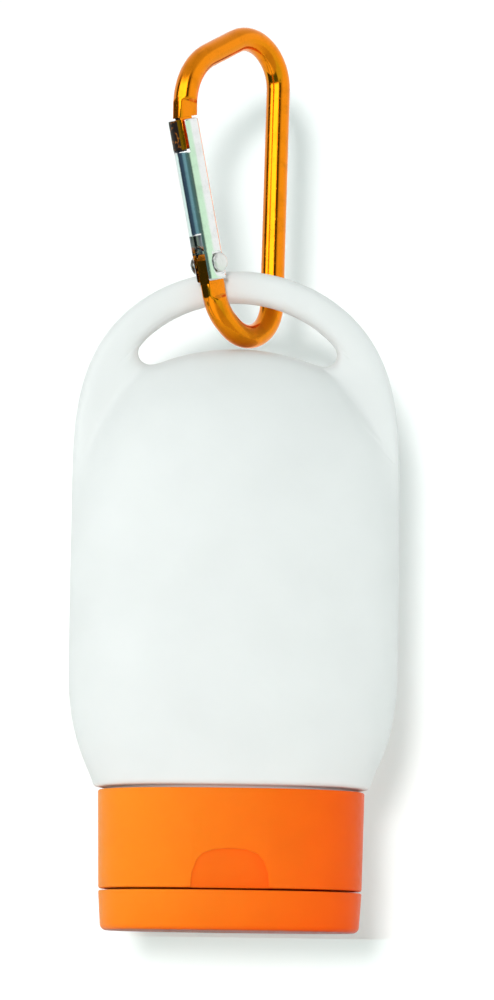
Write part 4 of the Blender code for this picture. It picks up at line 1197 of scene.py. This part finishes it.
def camera():
    """The camera of the photograph, a little under the cap and looking slightly up."""
    start_fresh()
    bpy.ops.object.camera_add()
    made = bpy.context.object
    made.data.lens = CAMERA_LENS
    made.data.sensor_width = 36.0
    made.data.clip_start = 0.01
    made.data.clip_end = 10.0
    ahead = Vector((0.0, math.cos(CAMERA_TILT), math.sin(CAMERA_TILT)))
    side = Vector((1.0, 0.0, 0.0))
    up = side.cross(ahead)
    right = side * math.cos(CAMERA_ROLL) + up * math.sin(CAMERA_ROLL)
    top = up * math.cos(CAMERA_ROLL) - side * math.sin(CAMERA_ROLL)
    turn = Matrix((right, top, -ahead)).transposed()
    made.matrix_world = Matrix.Translation(CAMERA_PLACE) @ turn.to_4x4()
    bpy.context.scene.camera = made


class SQUEEZE_OT_stage(bpy.types.Operator):
    """Sets the pale floor, the backdrop, the soft lamps and the camera"""

    bl_idname = "squeeze.stage"
    bl_label = "Stage"

    def execute(self, context):
        look = context.scene.stage_look
        floor = paper(look, "floor_paper", look.floor_lift, ("Is Glossy Ray",))
        wall = paper(look, "wall_paper", look.backdrop_lift, ("Is Glossy Ray", "Is Shadow Ray"))
        stage_sheet("floor", (0.0, 0.0, 0.0), (0.0, 0.0, 0.0), floor)
        stage_sheet("backdrop", (0.0, look.backdrop_distance, WALL_MIDDLE_Z),
                    (math.pi / 2, 0.0, 0.0), wall)
        studio_world(look)
        for name, (place, height, size, power) in LAMPS.items():
            lamp(name, place, height, size, look.key * power)
        camera()
        context.scene.view_settings.view_transform = "Standard"
        return {"FINISHED"}


OPERATORS = (
    SQUEEZE_OT_bottle_shell,
    SQUEEZE_OT_cap_skirt,
    SQUEEZE_OT_flip_lid,
    SQUEEZE_OT_living_hinge,
    SQUEEZE_OT_carabiner_wire,
    SQUEEZE_OT_gate_rod,
    SQUEEZE_OT_peened_rivet,
    SQUEEZE_OT_gate_inside,
    SQUEEZE_OT_stage,
)


class SQUEEZE_PT_panel(bpy.types.Panel):
    """Lists the pieces in the order in which they are made"""

    bl_label = "Squeeze Bottle"
    bl_idname = "SQUEEZE_PT_panel"
    bl_space_type = "VIEW_3D"
    bl_region_type = "UI"
    bl_category = "Squeeze Bottle"

    def draw(self, context):
        column = self.layout.column(align=True)
        for operator in OPERATORS:
            column.operator(operator.bl_idname)


LOOKS = {
    "bottle_look": BottleLook,
    "cap_look": CapLook,
    "carabiner_look": CarabinerLook,
    "stage_look": StageLook,
}


def register():
    """Makes the settings, the operators and the panel known to Blender."""
    for name, group in LOOKS.items():
        bpy.utils.register_class(group)
        setattr(bpy.types.Scene, name, bpy.props.PointerProperty(type=group))
    for operator in OPERATORS:
        bpy.utils.register_class(operator)
    bpy.utils.register_class(SQUEEZE_PT_panel)


def unregister():
    """Takes them out again."""
    bpy.utils.unregister_class(SQUEEZE_PT_panel)
    for operator in reversed(OPERATORS):
        bpy.utils.unregister_class(operator)
    for name, group in reversed(list(LOOKS.items())):
        delattr(bpy.types.Scene, name)
        bpy.utils.unregister_class(group)


def main():
    """Makes every piece in turn."""
    register()
    for step in (
        bpy.ops.squeeze.bottle_shell,
        bpy.ops.squeeze.cap_skirt,
        bpy.ops.squeeze.flip_lid,
        bpy.ops.squeeze.living_hinge,
        bpy.ops.squeeze.carabiner_wire,
        bpy.ops.squeeze.gate_rod,
        bpy.ops.squeeze.peened_rivet,
        bpy.ops.squeeze.gate_inside,
        bpy.ops.squeeze.stage,
    ):
        step()
    bpy.context.view_layer.update()


if __name__ == "__main__":
    main()
